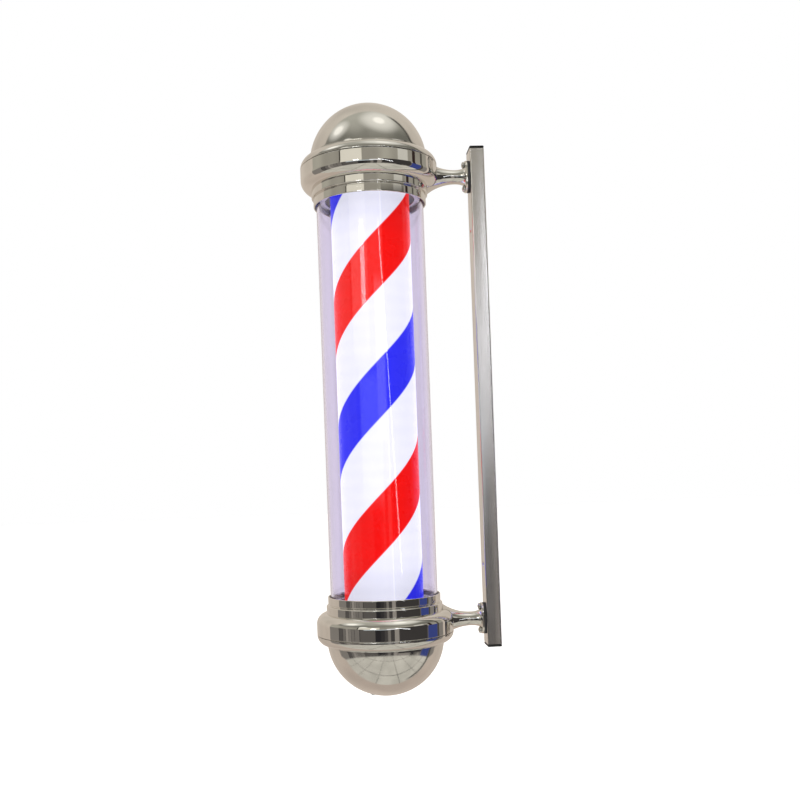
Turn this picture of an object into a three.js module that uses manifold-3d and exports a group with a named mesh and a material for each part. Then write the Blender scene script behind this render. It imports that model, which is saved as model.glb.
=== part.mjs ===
// Wall-mounted barber pole light: a striped drum turns inside a clear tube, between two chromed
// domed ends that two arms hold off a wall rail. Millimetres, +Z up. The origin is the middle of
// the rail's back face, +Y points into the wall and the pole stands in front of the rail at -Y.
import * as THREE from 'three';
import { mergeVertices } from 'three/addons/utils/BufferGeometryUtils.js';
import Module from 'manifold-3d';

const wasm = await Module();
wasm.setup();

// ---------------------------------------------------------------- driving dimensions
const TOTAL_HEIGHT = 700; // dome tip to dome tip
const GAP = 0.3; // clearance between neighbouring pieces

// Clear tube and the pressed shells around its ends
const TUBE_RADIUS = 63.5;
const TUBE_WALL = 3;
const SHELL = 1.5; // sheet thickness of rings and domes
const NECK_CLEARANCE = 1.7; // tube to neck lip, filled by a rubber gasket
const LIP_HEIGHT = 10.5; // narrowest band of the neck
const STEP_RISE = 2.1; // how far the second neck band stands outside the first
const STEP_HEIGHT = 9;
const SHOULDER_WIDTH = 12.2;
const SHOULDER_HEIGHT = 12;
const BAND_HEIGHT = 13; // plain outer band below the seam
const DOME_INSET = 11.5; // ring radius less dome radius
const DOME_LIFT = 5.5; // dome centre beyond the seam
const DOME_ROLL_HEIGHT = 12; // rounded roll between seam and dome
const SPIGOT_DEPTH = 6.5; // dome lip that enters the ring

// Inside the ends
const PLATE_THICKNESS = 2.5;
const PLATE_EDGE_GAP = 1.6; // plate rim to the shoulder's inner curve
const SEAL_THICKNESS = 1.5;
const COLLAR_WALL = 1.5;
const COLLAR_THICKNESS = 2;
const COLLAR_SETBACK = 5; // collar face behind the edge of the neck
const COLLAR_BORE_GAP = 6; // collar bore to drum

// Rotating drum
const DRUM_GAP = 13.5; // tube bore to drum surface
const FILM_THICKNESS = 0.5;
const DRUM_WALL = 1;
const DRUM_END_SPACE = 9; // drum end to plate, where the gear runs
const DISC_THICKNESS = 4;
const POST_RADIUS = 5;
const POST_BORE = 3;
const POST_PROTRUSION = 2; // post beyond its nuts
const BUSH_WALL = 2.4;
const BUSH_FLANGE_RADIUS = 12;
const BUSH_REACH = 13; // bush length from the plate
const GEAR_MODULE = 1.25;
const GEAR_TEETH = 48;
const PINION_TEETH = 12;
const GEAR_WIDTH = 4.5;

// Light
const LED_PROFILE_SIDE = 16;
const LED_STRIP_WIDTH = 12;
const LED_STRIP_THICKNESS = 1.2;
const LED_END_SPACE = 6; // light to drum disc

// Motor and electrics under the lower plate
const MOTOR_RADIUS = 24;
const MOTOR_SHAFT_OFFSET = 2.5; // output shaft from the middle of the can
const GEARBOX_HEIGHT = 9;
const MOTOR_HEIGHT = 15;
const MOTOR_SHAFT_RADIUS = 3;
const SHAFT_ENGAGEMENT = 5;
const EAR_THICKNESS = 1.5;
const EAR_REACH = 31.5;
const EAR_WIDTH = 11;
const DRIVER_LENGTH = 56;
const DRIVER_WIDTH = 28;
const DRIVER_HEIGHT = 18;
const DRIVER_TAB = 9;
const DRIVER_OFFSET = 38;
const TERMINAL_SIZE = [14, 26, 12];
const TERMINAL_OFFSET = 46;
const TERMINAL_WAYS = 3;
const LEAD_RADIUS = 2; // supply lead that the grommet and the clamp are made for
const CLAMP_SIZE = [14, 7, 6];
const CLAMP_PLACE = [46, -21];
const GROMMET_NECK = 2.7;
const GROMMET_NOSE = 3.4;
const GROMMET_FLANGE = 4.6;
const GROMMET_FLANGE_THICKNESS = 2;
const GROMMET_PROTRUSION = 2.4;
const GROMMET_TILT = THREE.MathUtils.degToRad(14.6); // off the lowest point of the dome
const GROMMET_BEARING = THREE.MathUtils.degToRad(-77); // which way it is off, from +X of the end

// Arms
const STANDOFF = 120; // pole axis to the front face of the rail
const ARM_DROP = 11; // arm axis from the seam
const ARM_WAIST = 8.2;
const ARM_ROOT_LENGTH = 35.7; // flare from inside the ring to the waist
const ARM_ROOT_CURVE = [42, 50]; // half axes of that flare's ellipse, across and along the arm
const ARM_FOOT_FLARE = 4.3;
const ARM_FOOT_LENGTH = 11.8; // waist to flange
const FLANGE_HEIGHT = 37;
const FLANGE_WIDTH = 25;
const FLANGE_CORNER = 11;
const FLANGE_THICKNESS = 2.6;
const PAD_THICKNESS = 2;
const ARM_SCREW_SPREAD = 14.2; // screw from the arm axis
const ARM_SCREW_SHANK = 1.8;
const ARM_SCREW_HEAD = 3.9;
const ARM_SCREW_HEAD_HEIGHT = 3.2;
const ARM_SCREW_LENGTH = 11;
const ARM_BOLT_SHANK = 2.5;
const ARM_BOLT_HEAD = 4;
const ARM_BOLT_REACH = 12;
const ARM_BOLT_SEAT = 1.2; // flat bolt head short of the curved wall

// Wall rail
const RAIL_WIDTH = 28;
const RAIL_DEPTH = 17;
const RAIL_WALL = 1.5;
const RAIL_OVERHANG = 30.2; // rail beyond the arm axis
const RAIL_CAP_THICKNESS = 2.6;
const RAIL_PLUG_DEPTH = 14;
const RAIL_PLUG_WALL = 2.5;
const WALL_HOLE_RADIUS = 3;
const WALL_HOLE_INSET = 64; // wall screw hole from the arm axis

// Small fasteners
const NUT_RADIUS = 9.8;
const NUT_HEIGHT = 6;
const WASHER_RADIUS = 11;
const WASHER_THICKNESS = 1.5;
const SMALL_SCREW_SHANK = 1.5;
const SMALL_SCREW_HEAD = 2.8;
const SMALL_SCREW_HEAD_HEIGHT = 1.8;
const SMALL_SCREW_LENGTH = 6;
const DOME_SCREW_SPREAD = 30; // degrees either side of the -X side of the pole

// Facets around a full turn
const SHELL_SEGMENTS = 28;
const TUBE_SEGMENTS = 28;
const ARM_SEGMENTS = 20;
const SMALL_SEGMENTS = 14;
const SCREW_SEGMENTS = 8;

// ---------------------------------------------------------------- derived dimensions
const tubeBore = TUBE_RADIUS - TUBE_WALL;
const lipRadius = TUBE_RADIUS + NECK_CLEARANCE + SHELL;
const stepRadius = lipRadius + STEP_RISE;
const ringRadius = stepRadius + SHOULDER_WIDTH;
const domeRadius = ringRadius - DOME_INSET;

const tipZ = TOTAL_HEIGHT / 2;
const domeCentreZ = tipZ - domeRadius;
const seamZ = domeCentreZ - DOME_LIFT;
const bandZ = seamZ - BAND_HEIGHT;
const shoulderZ = bandZ - SHOULDER_HEIGHT;
const stepZ = shoulderZ - STEP_HEIGHT;
const neckZ = stepZ - LIP_HEIGHT;
const armZ = seamZ - ARM_DROP;

const domeBaseZ = seamZ + GAP;
const rollTopZ = seamZ + DOME_ROLL_HEIGHT;
const rollJoinAngle = Math.asin((rollTopZ - domeCentreZ) / domeRadius);
const rollJoinRadius = domeRadius * Math.cos(rollJoinAngle);

const plateInnerZ = shoulderZ + SHELL + GAP;
const plateOuterZ = plateInnerZ + PLATE_THICKNESS;
const plateRadius = insideShoulderRadius(plateInnerZ) - PLATE_EDGE_GAP;
const sealOuterZ = plateInnerZ - GAP;
const tubeEndZ = sealOuterZ - SEAL_THICKNESS - GAP;
const collarZ = neckZ + COLLAR_SETBACK;

const filmRadius = tubeBore - DRUM_GAP;
const drumRadius = filmRadius - FILM_THICKNESS - GAP;
const drumBore = drumRadius - DRUM_WALL;
const drumEndZ = plateInnerZ - DRUM_END_SPACE;
const bushRadius = POST_RADIUS + GAP + BUSH_WALL;
const hubBore = bushRadius + GAP;
const gearRadius = (GEAR_MODULE * GEAR_TEETH) / 2;
const pinionRadius = (GEAR_MODULE * PINION_TEETH) / 2;
const shaftOffset = gearRadius + pinionRadius;
const motorOffset = shaftOffset + MOTOR_SHAFT_OFFSET;
const gearTopZ = drumEndZ + GAP;
const gearBottomZ = gearTopZ + GEAR_WIDTH;
const ledHalfLength = drumEndZ - DISC_THICKNESS - LED_END_SPACE;

const washerZ = plateOuterZ + GAP;
const nutZ = washerZ + WASHER_THICKNESS + GAP;
const postHalfLength = nutZ + NUT_HEIGHT + POST_PROTRUSION;

const motorZ = plateOuterZ + GAP;
const canZ = motorZ + GEARBOX_HEIGHT + GAP;
const earHoleX = (MOTOR_RADIUS + EAR_REACH) / 2;
const driverHoleX = (DRIVER_LENGTH + DRIVER_TAB) / 2;
const shaftEndZ = motorZ + SHAFT_ENGAGEMENT;

const boltSeatY = ringRadius - SHELL - ARM_BOLT_SEAT;
const padFaceY = STANDOFF - GAP;
const flangeBackY = padFaceY - PAD_THICKNESS - GAP;
const flangeFrontY = flangeBackY - FLANGE_THICKNESS;
const armWaistY = flangeFrontY - ARM_FOOT_LENGTH;
const armRootY = stepRadius - SHELL;
const poleY = -(STANDOFF + RAIL_DEPTH);
const railHalfLength = armZ + RAIL_OVERHANG;
const wallHoleZ = armZ - WALL_HOLE_INSET;

// ---------------------------------------------------------------- geometry helpers

// Radius of the shoulder's inner surface at height z of the upper end.
function insideShoulderRadius(z) {
  const drop = (bandZ - z) / (SHOULDER_HEIGHT - SHELL);
  return stepRadius + (SHOULDER_WIDTH - SHELL) * Math.sqrt(1 - drop * drop);
}

// Points on an ellipse from angle start to angle end, in radians, as [radius, height].
function arc(centre, radii, start, end, steps) {
  const points = [];
  for (let step = 0; step <= steps; step += 1) {
    const angle = start + ((end - start) * step) / steps;
    points.push([centre[0] + radii[0] * Math.cos(angle), centre[1] + radii[1] * Math.sin(angle)]);
  }
  return points;
}

// Manifold solid of any closed geometry, whichever way its faces were wound.
function solid(geometry) {
  const bare = geometry.clone();
  bare.deleteAttribute('normal');
  bare.deleteAttribute('uv');
  const merged = mergeVertices(bare, 1e-4);
  const corners = merged.index.array;
  const kept = [];
  for (let i = 0; i < corners.length; i += 3) {
    const [a, b, c] = [corners[i], corners[i + 1], corners[i + 2]];
    if (a !== b && b !== c && c !== a) kept.push(a, b, c);
  }
  const vertProperties = new Float32Array(merged.attributes.position.array);
  const build = (order) =>
    new wasm.Manifold(new wasm.Mesh({ numProp: 3, vertProperties, triVerts: new Uint32Array(order) }));
  const first = build(kept);
  return first.volume() > 0 ? first : build(kept.reverse());
}

// BufferGeometry of a manifold solid.
function geometryOf(body) {
  const mesh = body.getMesh();
  const geometry = new THREE.BufferGeometry();
  geometry.setAttribute('position', new THREE.BufferAttribute(new Float32Array(mesh.vertProperties), 3));
  geometry.setIndex(new THREE.BufferAttribute(new Uint32Array(mesh.triVerts), 1));
  geometry.computeVertexNormals();
  return geometry;
}

// Solid of revolution about Z from a closed outline of [radius, height] points.
function turned(outline, segments) {
  const points = [...outline, outline[0]].map(([radius, height]) => new THREE.Vector2(radius, height));
  return solid(new THREE.LatheGeometry(points, segments).rotateX(Math.PI / 2));
}

function cylinder(radius, from, to, segments = SMALL_SEGMENTS) {
  return turned([[0, from], [radius, from], [radius, to], [0, to]], segments);
}

function pipe(inner, outer, from, to, segments = SMALL_SEGMENTS) {
  return turned([[inner, from], [outer, from], [outer, to], [inner, to]], segments);
}

function box(width, depth, height, centre) {
  return solid(new THREE.BoxGeometry(width, depth, height).translate(...centre));
}

// Shape in the XY plane raised along Z between two heights.
function prism(shape, from, to, curveSegments = 6) {
  const settings = { depth: to - from, bevelEnabled: false, curveSegments };
  return solid(new THREE.ExtrudeGeometry(shape, settings).translate(0, 0, from));
}

// Rectangle with round corners, centred on the origin.
function roundedRectangle(width, height, radius) {
  const shape = new THREE.Shape();
  const [x, y] = [width / 2 - radius, height / 2 - radius];
  shape.absarc(x, y, radius, 0, Math.PI / 2);
  shape.absarc(-x, y, radius, Math.PI / 2, Math.PI);
  shape.absarc(-x, -y, radius, Math.PI, 1.5 * Math.PI);
  shape.absarc(x, -y, radius, 1.5 * Math.PI, 2 * Math.PI);
  return shape;
}

// Involute gear outline with thinned teeth, one tooth centred on +X. Flanks have the given points.
function gearShape(teeth, flankPoints) {
  const pitch = (GEAR_MODULE * teeth) / 2;
  const pressure = THREE.MathUtils.degToRad(20);
  const base = pitch * Math.cos(pressure);
  const tip = pitch + 0.8 * GEAR_MODULE;
  const root = pitch - 1.15 * GEAR_MODULE;
  const thinning = 0.8;
  const involute = (radius) => {
    const angle = Math.acos(Math.min(1, base / radius));
    return Math.tan(angle) - angle;
  };
  const halfAngle = (radius) =>
    (thinning * Math.PI) / (2 * teeth) + involute(pitch) - involute(Math.max(radius, base));
  const radii = [];
  for (let point = 0; point < flankPoints; point += 1) {
    radii.push(root + ((tip - root) * point) / (flankPoints - 1));
  }
  const points = [];
  for (let tooth = 0; tooth < teeth; tooth += 1) {
    const centre = (2 * Math.PI * tooth) / teeth;
    const rising = radii.map((radius) => [radius, centre - halfAngle(radius)]);
    const falling = [...radii].reverse().map((radius) => [radius, centre + halfAngle(radius)]);
    for (const [radius, angle] of [...rising, ...falling]) {
      points.push(new THREE.Vector2(radius * Math.cos(angle), radius * Math.sin(angle)));
    }
  }
  return new THREE.Shape(points);
}

// ---------------------------------------------------------------- finishes
const finishes = {
  chrome: { color: 0xcfcac0, roughness: 0.08, metalness: 1 },
  satin: { color: 0xc4bfb5, roughness: 0.25, metalness: 1 },
  brushed: { color: 0xa9a49c, roughness: 0.4, metalness: 1 },
  zinc: { color: 0x9da1a6, roughness: 0.45, metalness: 1 },
  brass: { color: 0xb8964a, roughness: 0.4, metalness: 1 },
  clear: { color: 0xe6e4ee, roughness: 0.05, metalness: 0 },
  film: { color: 0xd81e1e, roughness: 0.35, metalness: 0 },
  opal: { color: 0xf1f1f4, roughness: 0.5, metalness: 0 },
  nylon: { color: 0xe9e4d6, roughness: 0.6, metalness: 0 },
  rubber: { color: 0x17171a, roughness: 0.85, metalness: 0 },
  black: { color: 0x101012, roughness: 0.5, metalness: 0 },
  board: { color: 0xf4f6f2, roughness: 0.6, metalness: 0 },
  casing: { color: 0xd9d9d4, roughness: 0.55, metalness: 0 },
};

function piece(name, body, finish) {
  const mesh = new THREE.Mesh(geometryOf(body), new THREE.MeshStandardMaterial(finishes[finish]));
  mesh.name = name;
  return mesh;
}

// ---------------------------------------------------------------- fasteners

// Pan-head screw: head from z = 0 upwards, shank below.
function panScrew(shankRadius, headRadius, headHeight, length) {
  const crown = arc([0, headHeight / 3], [headRadius, (2 * headHeight) / 3], 0, Math.PI / 2, 3);
  const outline = [[0, -length], [shankRadius, -length], [shankRadius, 0], [headRadius, 0], ...crown];
  return turned(outline, SCREW_SEGMENTS);
}

function smallScrew() {
  return panScrew(SMALL_SCREW_SHANK, SMALL_SCREW_HEAD, SMALL_SCREW_HEAD_HEIGHT, SMALL_SCREW_LENGTH);
}

function hexNut(boreRadius) {
  return turned([[0, 0], [NUT_RADIUS, 0], [NUT_RADIUS, NUT_HEIGHT], [0, NUT_HEIGHT]], 6)
    .subtract(cylinder(boreRadius, -1, NUT_HEIGHT + 1));
}

// ---------------------------------------------------------------- one end of the pole

// Outer surface of the ring from the seam to the neck's edge, as [radius, height].
function ringOutline() {
  const shoulder = arc([stepRadius, bandZ], [SHOULDER_WIDTH, SHOULDER_HEIGHT], 0, -Math.PI / 2, 4);
  return [[ringRadius, seamZ], ...shoulder, [stepRadius, stepZ], [lipRadius, stepZ], [lipRadius, neckZ]];
}

// Hole for the arm's bolt, along +Y from inside the ring.
function armBoltHole(radius) {
  const from = ringRadius - ARM_BOLT_HEAD - SHELL;
  return cylinder(radius, from, ringRadius + ARM_BOLT_REACH + 1, SCREW_SEGMENTS)
    .rotate([-90, 0, 0])
    .translate([0, 0, armZ]);
}

// Bearings in degrees of an end's two dome screws, either side of its middle bearing.
function domeScrewBearings(middle) {
  return [middle - DOME_SCREW_SPREAD, middle + DOME_SCREW_SPREAD];
}

function domeScrewHole(bearing) {
  const height = seamZ - SPIGOT_DEPTH / 2;
  return cylinder(SMALL_SCREW_SHANK + GAP, ringRadius - SHOULDER_WIDTH, ringRadius + 1, SCREW_SEGMENTS)
    .rotate([0, 90, 0])
    .translate([0, 0, height])
    .rotate([0, 0, bearing]);
}

function ring(screwBearing) {
  const innerShoulder = arc(
    [stepRadius, bandZ],
    [SHOULDER_WIDTH - SHELL, SHOULDER_HEIGHT - SHELL],
    -Math.PI / 2,
    0,
    3,
  );
  const inside = [
    [lipRadius - SHELL, neckZ],
    [lipRadius - SHELL, stepZ + SHELL],
    [stepRadius - SHELL, stepZ + SHELL],
    [stepRadius - SHELL, shoulderZ + SHELL],
    ...innerShoulder,
    [ringRadius - SHELL, seamZ],
  ];
  let body = turned([...ringOutline(), ...inside], SHELL_SEGMENTS);
  body = body.subtract(armBoltHole(ARM_BOLT_SHANK + GAP));
  for (const bearing of domeScrewBearings(screwBearing)) {
    body = body.subtract(domeScrewHole(bearing));
  }
  return body;
}

// Outer surface of the dome from the seam to the tip, as [radius, height].
function domeOutline() {
  const rollRadii = [ringRadius - rollJoinRadius, rollTopZ - domeBaseZ];
  const roll = arc([rollJoinRadius, domeBaseZ], rollRadii, 0, Math.PI / 2, 4);
  const cap = arc([0, domeCentreZ], [domeRadius, domeRadius], rollJoinAngle, Math.PI / 2, 7);
  return [...roll, ...cap.slice(1)];
}

function dome(screwBearing) {
  const spigotRadius = ringRadius - SHELL - GAP;
  const insideRoll = [spigotRadius - SHELL - rollJoinRadius, rollTopZ - domeBaseZ - SHELL];
  const innerRadius = domeRadius - SHELL;
  const outline = [
    [spigotRadius, seamZ - SPIGOT_DEPTH],
    [spigotRadius, domeBaseZ],
    ...domeOutline(),
    ...arc([0, domeCentreZ], [innerRadius, innerRadius], Math.PI / 2, rollJoinAngle, 5),
    ...arc([rollJoinRadius, domeBaseZ], insideRoll, Math.PI / 2, 0, 2),
    [spigotRadius - SHELL, seamZ - SPIGOT_DEPTH],
  ];
  let body = turned(outline, SHELL_SEGMENTS);
  for (const bearing of domeScrewBearings(screwBearing)) {
    body = body.subtract(domeScrewHole(bearing));
  }
  return body;
}

// Everything inside the outer surfaces of the ring and the dome, plus a clearance.
function endEnvelope() {
  const surface = [...[...domeOutline()].reverse().slice(1), ...ringOutline()];
  const grown = surface.map(([radius, height]) => [radius + GAP, height]);
  return turned([[0, tipZ + GAP], ...grown, [0, neckZ]], SHELL_SEGMENTS);
}

// Flange or pad outline between two distances along the arm.
function flangePlate(from, thickness) {
  return prism(roundedRectangle(FLANGE_WIDTH, FLANGE_HEIGHT, FLANGE_CORNER), 0, thickness)
    .rotate([-90, 0, 0])
    .translate([0, from, armZ]);
}

// Cylinders along +Y at the two arm screws.
function armScrewHoles(radius, from, to) {
  const hole = cylinder(radius, from, to, SCREW_SEGMENTS).rotate([-90, 0, 0]);
  const outer = hole.translate([0, 0, armZ + ARM_SCREW_SPREAD]);
  return outer.add(hole.translate([0, 0, armZ - ARM_SCREW_SPREAD]));
}

// Radius of the arm at distance y from the pole axis, ahead of its foot.
function armRadius(y) {
  const [across, along] = ARM_ROOT_CURVE;
  const flare = Math.max(0, armRootY + ARM_ROOT_LENGTH - y) / along;
  return ARM_WAIST + across * (1 - Math.sqrt(1 - flare * flare));
}

// Trumpet arm along +Y with its screw flange, cut to sit on the ring.
function arm() {
  const rootSteps = 6;
  const root = [];
  for (let step = 0; step <= rootSteps; step += 1) {
    const y = armRootY + ((armWaistY - armRootY) * step) / rootSteps;
    root.push([armRadius(y), y]);
  }
  const footRadius = armRadius(armWaistY) + ARM_FOOT_FLARE;
  const foot = arc([footRadius, armWaistY], [ARM_FOOT_FLARE, ARM_FOOT_LENGTH], Math.PI, Math.PI / 2, 4);
  const middle = flangeFrontY + FLANGE_THICKNESS / 2;
  const outline = [[0, armRootY], ...root, ...foot.slice(1), [footRadius, middle], [0, middle]];
  const trumpet = turned(outline, ARM_SEGMENTS).rotate([-90, 0, 0]).translate([0, 0, armZ]);
  return trumpet
    .subtract(armScrewHoles(ARM_SCREW_HEAD + GAP, armWaistY, flangeFrontY))
    .add(flangePlate(flangeFrontY, FLANGE_THICKNESS))
    .subtract(armScrewHoles(ARM_SCREW_SHANK + GAP, flangeFrontY - 1, STANDOFF))
    .subtract(endEnvelope())
    .subtract(armBoltHole(ARM_BOLT_SHANK + GAP));
}

function armPad() {
  return flangePlate(flangeBackY + GAP, PAD_THICKNESS)
    .subtract(armScrewHoles(ARM_SCREW_SHANK + GAP, flangeBackY, STANDOFF));
}

// Disc that closes the ring, carries the post and presses on the end of the tube.
function plate() {
  return pipe(POST_RADIUS + GAP, plateRadius, plateInnerZ, plateOuterZ, SHELL_SEGMENTS);
}

// Angle ring inside the tube that centres it and shades the gap around the drum.
function collar() {
  const outer = tubeBore - GAP;
  const outline = [
    [filmRadius + COLLAR_BORE_GAP, collarZ],
    [outer, collarZ],
    [outer, sealOuterZ],
    [outer - COLLAR_WALL, sealOuterZ],
    [outer - COLLAR_WALL, collarZ + COLLAR_THICKNESS],
    [filmRadius + COLLAR_BORE_GAP, collarZ + COLLAR_THICKNESS],
  ];
  return turned(outline, SHELL_SEGMENTS);
}

function bush(flangeThickness) {
  const top = plateInnerZ - GAP;
  const outline = [
    [POST_RADIUS + GAP, top - BUSH_REACH],
    [bushRadius, top - BUSH_REACH],
    [bushRadius, top - flangeThickness],
    [BUSH_FLANGE_RADIUS, top - flangeThickness],
    [BUSH_FLANGE_RADIUS, top],
    [POST_RADIUS + GAP, top],
  ];
  return turned(outline, SMALL_SEGMENTS);
}

function neckGasket() {
  return pipe(TUBE_RADIUS + GAP, lipRadius - SHELL - GAP, neckZ + GAP, stepZ, TUBE_SEGMENTS);
}

function tubeSeal() {
  return pipe(tubeBore, TUBE_RADIUS, tubeEndZ + GAP, sealOuterZ, TUBE_SEGMENTS);
}

function postWasher() {
  return pipe(POST_RADIUS + GAP, WASHER_RADIUS, washerZ, washerZ + WASHER_THICKNESS);
}

// Pieces that both ends share, drawn for the upper end.
function endPieces(name, options) {
  const end = new THREE.Group();
  end.add(
    piece(`${name}_ring`, ring(options.screwBearing), 'chrome'),
    piece(`${name}_dome`, options.domeBody, 'satin'),
    piece(`${name}_arm`, arm(), 'chrome'),
    piece(`${name}_arm_pad`, armPad(), 'rubber'),
    piece(`${name}_plate`, options.plateBody, 'zinc'),
    piece(`${name}_neck_gasket`, neckGasket(), 'rubber'),
    piece(`${name}_tube_seal`, tubeSeal(), 'rubber'),
    piece(`${name}_tube_collar`, collar(), 'satin'),
    piece(`${name}_bush`, bush(options.bushFlange), 'nylon'),
    piece(`${name}_post_washer`, postWasher(), 'zinc'),
  );

  const nut = piece(`${name}_post_nut`, hexNut(POST_RADIUS + GAP), 'brass');
  nut.position.z = nutZ;
  end.add(nut);

  const bolt = panScrew(ARM_BOLT_SHANK, ARM_BOLT_HEAD, ARM_BOLT_HEAD, ARM_BOLT_REACH + SHELL);
  const armBolt = piece(`${name}_arm_bolt`, bolt, 'zinc');
  armBolt.rotation.x = Math.PI / 2;
  armBolt.position.set(0, boltSeatY, armZ);
  end.add(armBolt);

  for (const [place, offset] of [['outer', ARM_SCREW_SPREAD], ['inner', -ARM_SCREW_SPREAD]]) {
    const shape = panScrew(ARM_SCREW_SHANK, ARM_SCREW_HEAD, ARM_SCREW_HEAD_HEIGHT, ARM_SCREW_LENGTH);
    const screw = piece(`${name}_arm_screw_${place}`, shape, 'chrome');
    screw.rotation.x = Math.PI / 2;
    screw.position.set(0, flangeFrontY - GAP, armZ + offset);
    end.add(screw);
  }

  domeScrewBearings(options.screwBearing).forEach((bearing, index) => {
    const turn = new THREE.Group();
    const screw = piece(`${name}_dome_screw_${index + 1}`, smallScrew(), 'chrome');
    screw.rotation.y = Math.PI / 2;
    screw.position.set(ringRadius + GAP, 0, seamZ - SPIGOT_DEPTH / 2);
    turn.rotation.z = THREE.MathUtils.degToRad(bearing);
    turn.add(screw);
    end.add(turn);
  });
  return end;
}

// ---------------------------------------------------------------- motor and electrics

// Lower plate: shaft hole, screw holes of the motor, the driver and the lead clamp.
function motorPlate() {
  const holes = [
    [0, -shaftOffset, MOTOR_SHAFT_RADIUS + 1],
    ...[-earHoleX, earHoleX].map((x) => [x, -motorOffset, SMALL_SCREW_SHANK + GAP]),
    ...[-driverHoleX, driverHoleX].map((x) => [x, DRIVER_OFFSET, SMALL_SCREW_SHANK + GAP]),
  ];
  let body = plate();
  for (const [x, y, radius] of holes) {
    body = body.subtract(cylinder(radius, plateInnerZ - 1, plateOuterZ + 1).translate([x, y, 0]));
  }
  return body;
}

function gearbox() {
  const ears = box(2 * EAR_REACH, EAR_WIDTH, EAR_THICKNESS, [0, -motorOffset, motorZ + EAR_THICKNESS / 2]);
  let body = cylinder(MOTOR_RADIUS, motorZ, motorZ + GEARBOX_HEIGHT, ARM_SEGMENTS)
    .translate([0, -motorOffset, 0])
    .add(ears);
  for (const x of [-earHoleX, earHoleX]) {
    const hole = cylinder(SMALL_SCREW_SHANK + GAP, motorZ - 1, motorZ + EAR_THICKNESS + 1);
    body = body.subtract(hole.translate([x, -motorOffset, 0]));
  }
  const shaftBore = cylinder(MOTOR_SHAFT_RADIUS + GAP, motorZ - 1, shaftEndZ + GAP);
  return body.subtract(shaftBore.translate([0, -shaftOffset, 0]));
}

function motorCan() {
  return cylinder(MOTOR_RADIUS, canZ, canZ + MOTOR_HEIGHT, ARM_SEGMENTS).translate([0, -motorOffset, 0]);
}

function ledDriver() {
  const tabLength = DRIVER_LENGTH + 2 * DRIVER_TAB;
  const tabMiddle = [0, DRIVER_OFFSET, motorZ + EAR_THICKNESS / 2];
  const caseMiddle = [0, DRIVER_OFFSET, motorZ + DRIVER_HEIGHT / 2];
  let body = box(DRIVER_LENGTH, DRIVER_WIDTH, DRIVER_HEIGHT, caseMiddle)
    .add(box(tabLength, DRIVER_WIDTH / 2, EAR_THICKNESS, tabMiddle));
  for (const x of [-driverHoleX, driverHoleX]) {
    const hole = cylinder(SMALL_SCREW_SHANK + GAP, motorZ - 1, motorZ + EAR_THICKNESS + 1);
    body = body.subtract(hole.translate([x, DRIVER_OFFSET, 0]));
  }
  return body;
}

// Block with a row of wire entries on each long side.
function terminalBlock() {
  const [width, length, height] = TERMINAL_SIZE;
  const middleZ = motorZ + height / 2;
  const pitch = length / TERMINAL_WAYS;
  let body = box(width, length, height, [TERMINAL_OFFSET, 0, middleZ]);
  for (let way = 0; way < TERMINAL_WAYS; way += 1) {
    const y = (way + 0.5) * pitch - length / 2;
    const entry = cylinder(pitch / 4, -width, width, SCREW_SEGMENTS).rotate([0, 90, 0]);
    body = body.subtract(entry.translate([TERMINAL_OFFSET, y, middleZ]));
  }
  return body;
}

// Saddle that holds the supply lead against the plate.
function leadClamp() {
  const [length, width, height] = CLAMP_SIZE;
  const [x, y] = CLAMP_PLACE;
  const channel = cylinder(LEAD_RADIUS, -width, width, SCREW_SEGMENTS).rotate([90, 0, 0]);
  return box(length, width, height, [x, y, motorZ + height / 2])
    .subtract(channel.translate([x, y, motorZ]));
}

// Rubber grommet with its axis on Z and the dome's surface at the dome radius.
function grommet() {
  const sheetBottom = domeRadius - SHELL - 3 * GAP;
  const sheetTop = domeRadius + GAP;
  const nose = arc(
    [LEAD_RADIUS, sheetTop],
    [GROMMET_NOSE - LEAD_RADIUS, GROMMET_PROTRUSION - GAP],
    0,
    Math.PI / 2,
    3,
  );
  const outline = [
    [LEAD_RADIUS, sheetBottom - GROMMET_FLANGE_THICKNESS],
    [GROMMET_FLANGE, sheetBottom - GROMMET_FLANGE_THICKNESS],
    [GROMMET_FLANGE, sheetBottom],
    [GROMMET_NECK, sheetBottom],
    [GROMMET_NECK, sheetTop],
    ...nose,
  ];
  return turned(outline, SCREW_SEGMENTS);
}

// Turn that takes the grommet's axis from +Z to its bearing on the dome.
function grommetTurn() {
  return new THREE.Euler(0, GROMMET_TILT, GROMMET_BEARING, 'ZYX');
}

function lowerDome() {
  const turn = grommetTurn();
  const hole = cylinder(GROMMET_NECK + GAP, domeRadius / 2, domeRadius + 1, SCREW_SEGMENTS)
    .rotate([0, THREE.MathUtils.radToDeg(turn.y), 0])
    .rotate([0, 0, THREE.MathUtils.radToDeg(turn.z)])
    .translate([0, 0, domeCentreZ]);
  return dome(0).subtract(hole);
}

// Motor, driver, terminals, lead clamp and grommet, drawn in the frame of an upper end.
function electricPieces() {
  const unit = new THREE.Group();
  unit.add(
    piece('motor_gearbox', gearbox(), 'zinc'),
    piece('motor_can', motorCan(), 'satin'),
    piece('led_driver', ledDriver(), 'casing'),
    piece('terminal_block', terminalBlock(), 'opal'),
    piece('lead_clamp', leadClamp(), 'nylon'),
  );
  const screwPlaces = [
    ['motor_screw', earHoleX, -motorOffset],
    ['driver_screw', driverHoleX, DRIVER_OFFSET],
  ];
  for (const [name, reach, y] of screwPlaces) {
    [-reach, reach].forEach((x, index) => {
      const screw = piece(`${name}_${index + 1}`, smallScrew(), 'zinc');
      screw.position.set(x, y, motorZ + EAR_THICKNESS + GAP);
      unit.add(screw);
    });
  }
  const seal = piece('lead_grommet', grommet(), 'rubber');
  seal.rotation.copy(grommetTurn());
  seal.position.z = domeCentreZ;
  unit.add(seal);
  return unit;
}

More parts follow.
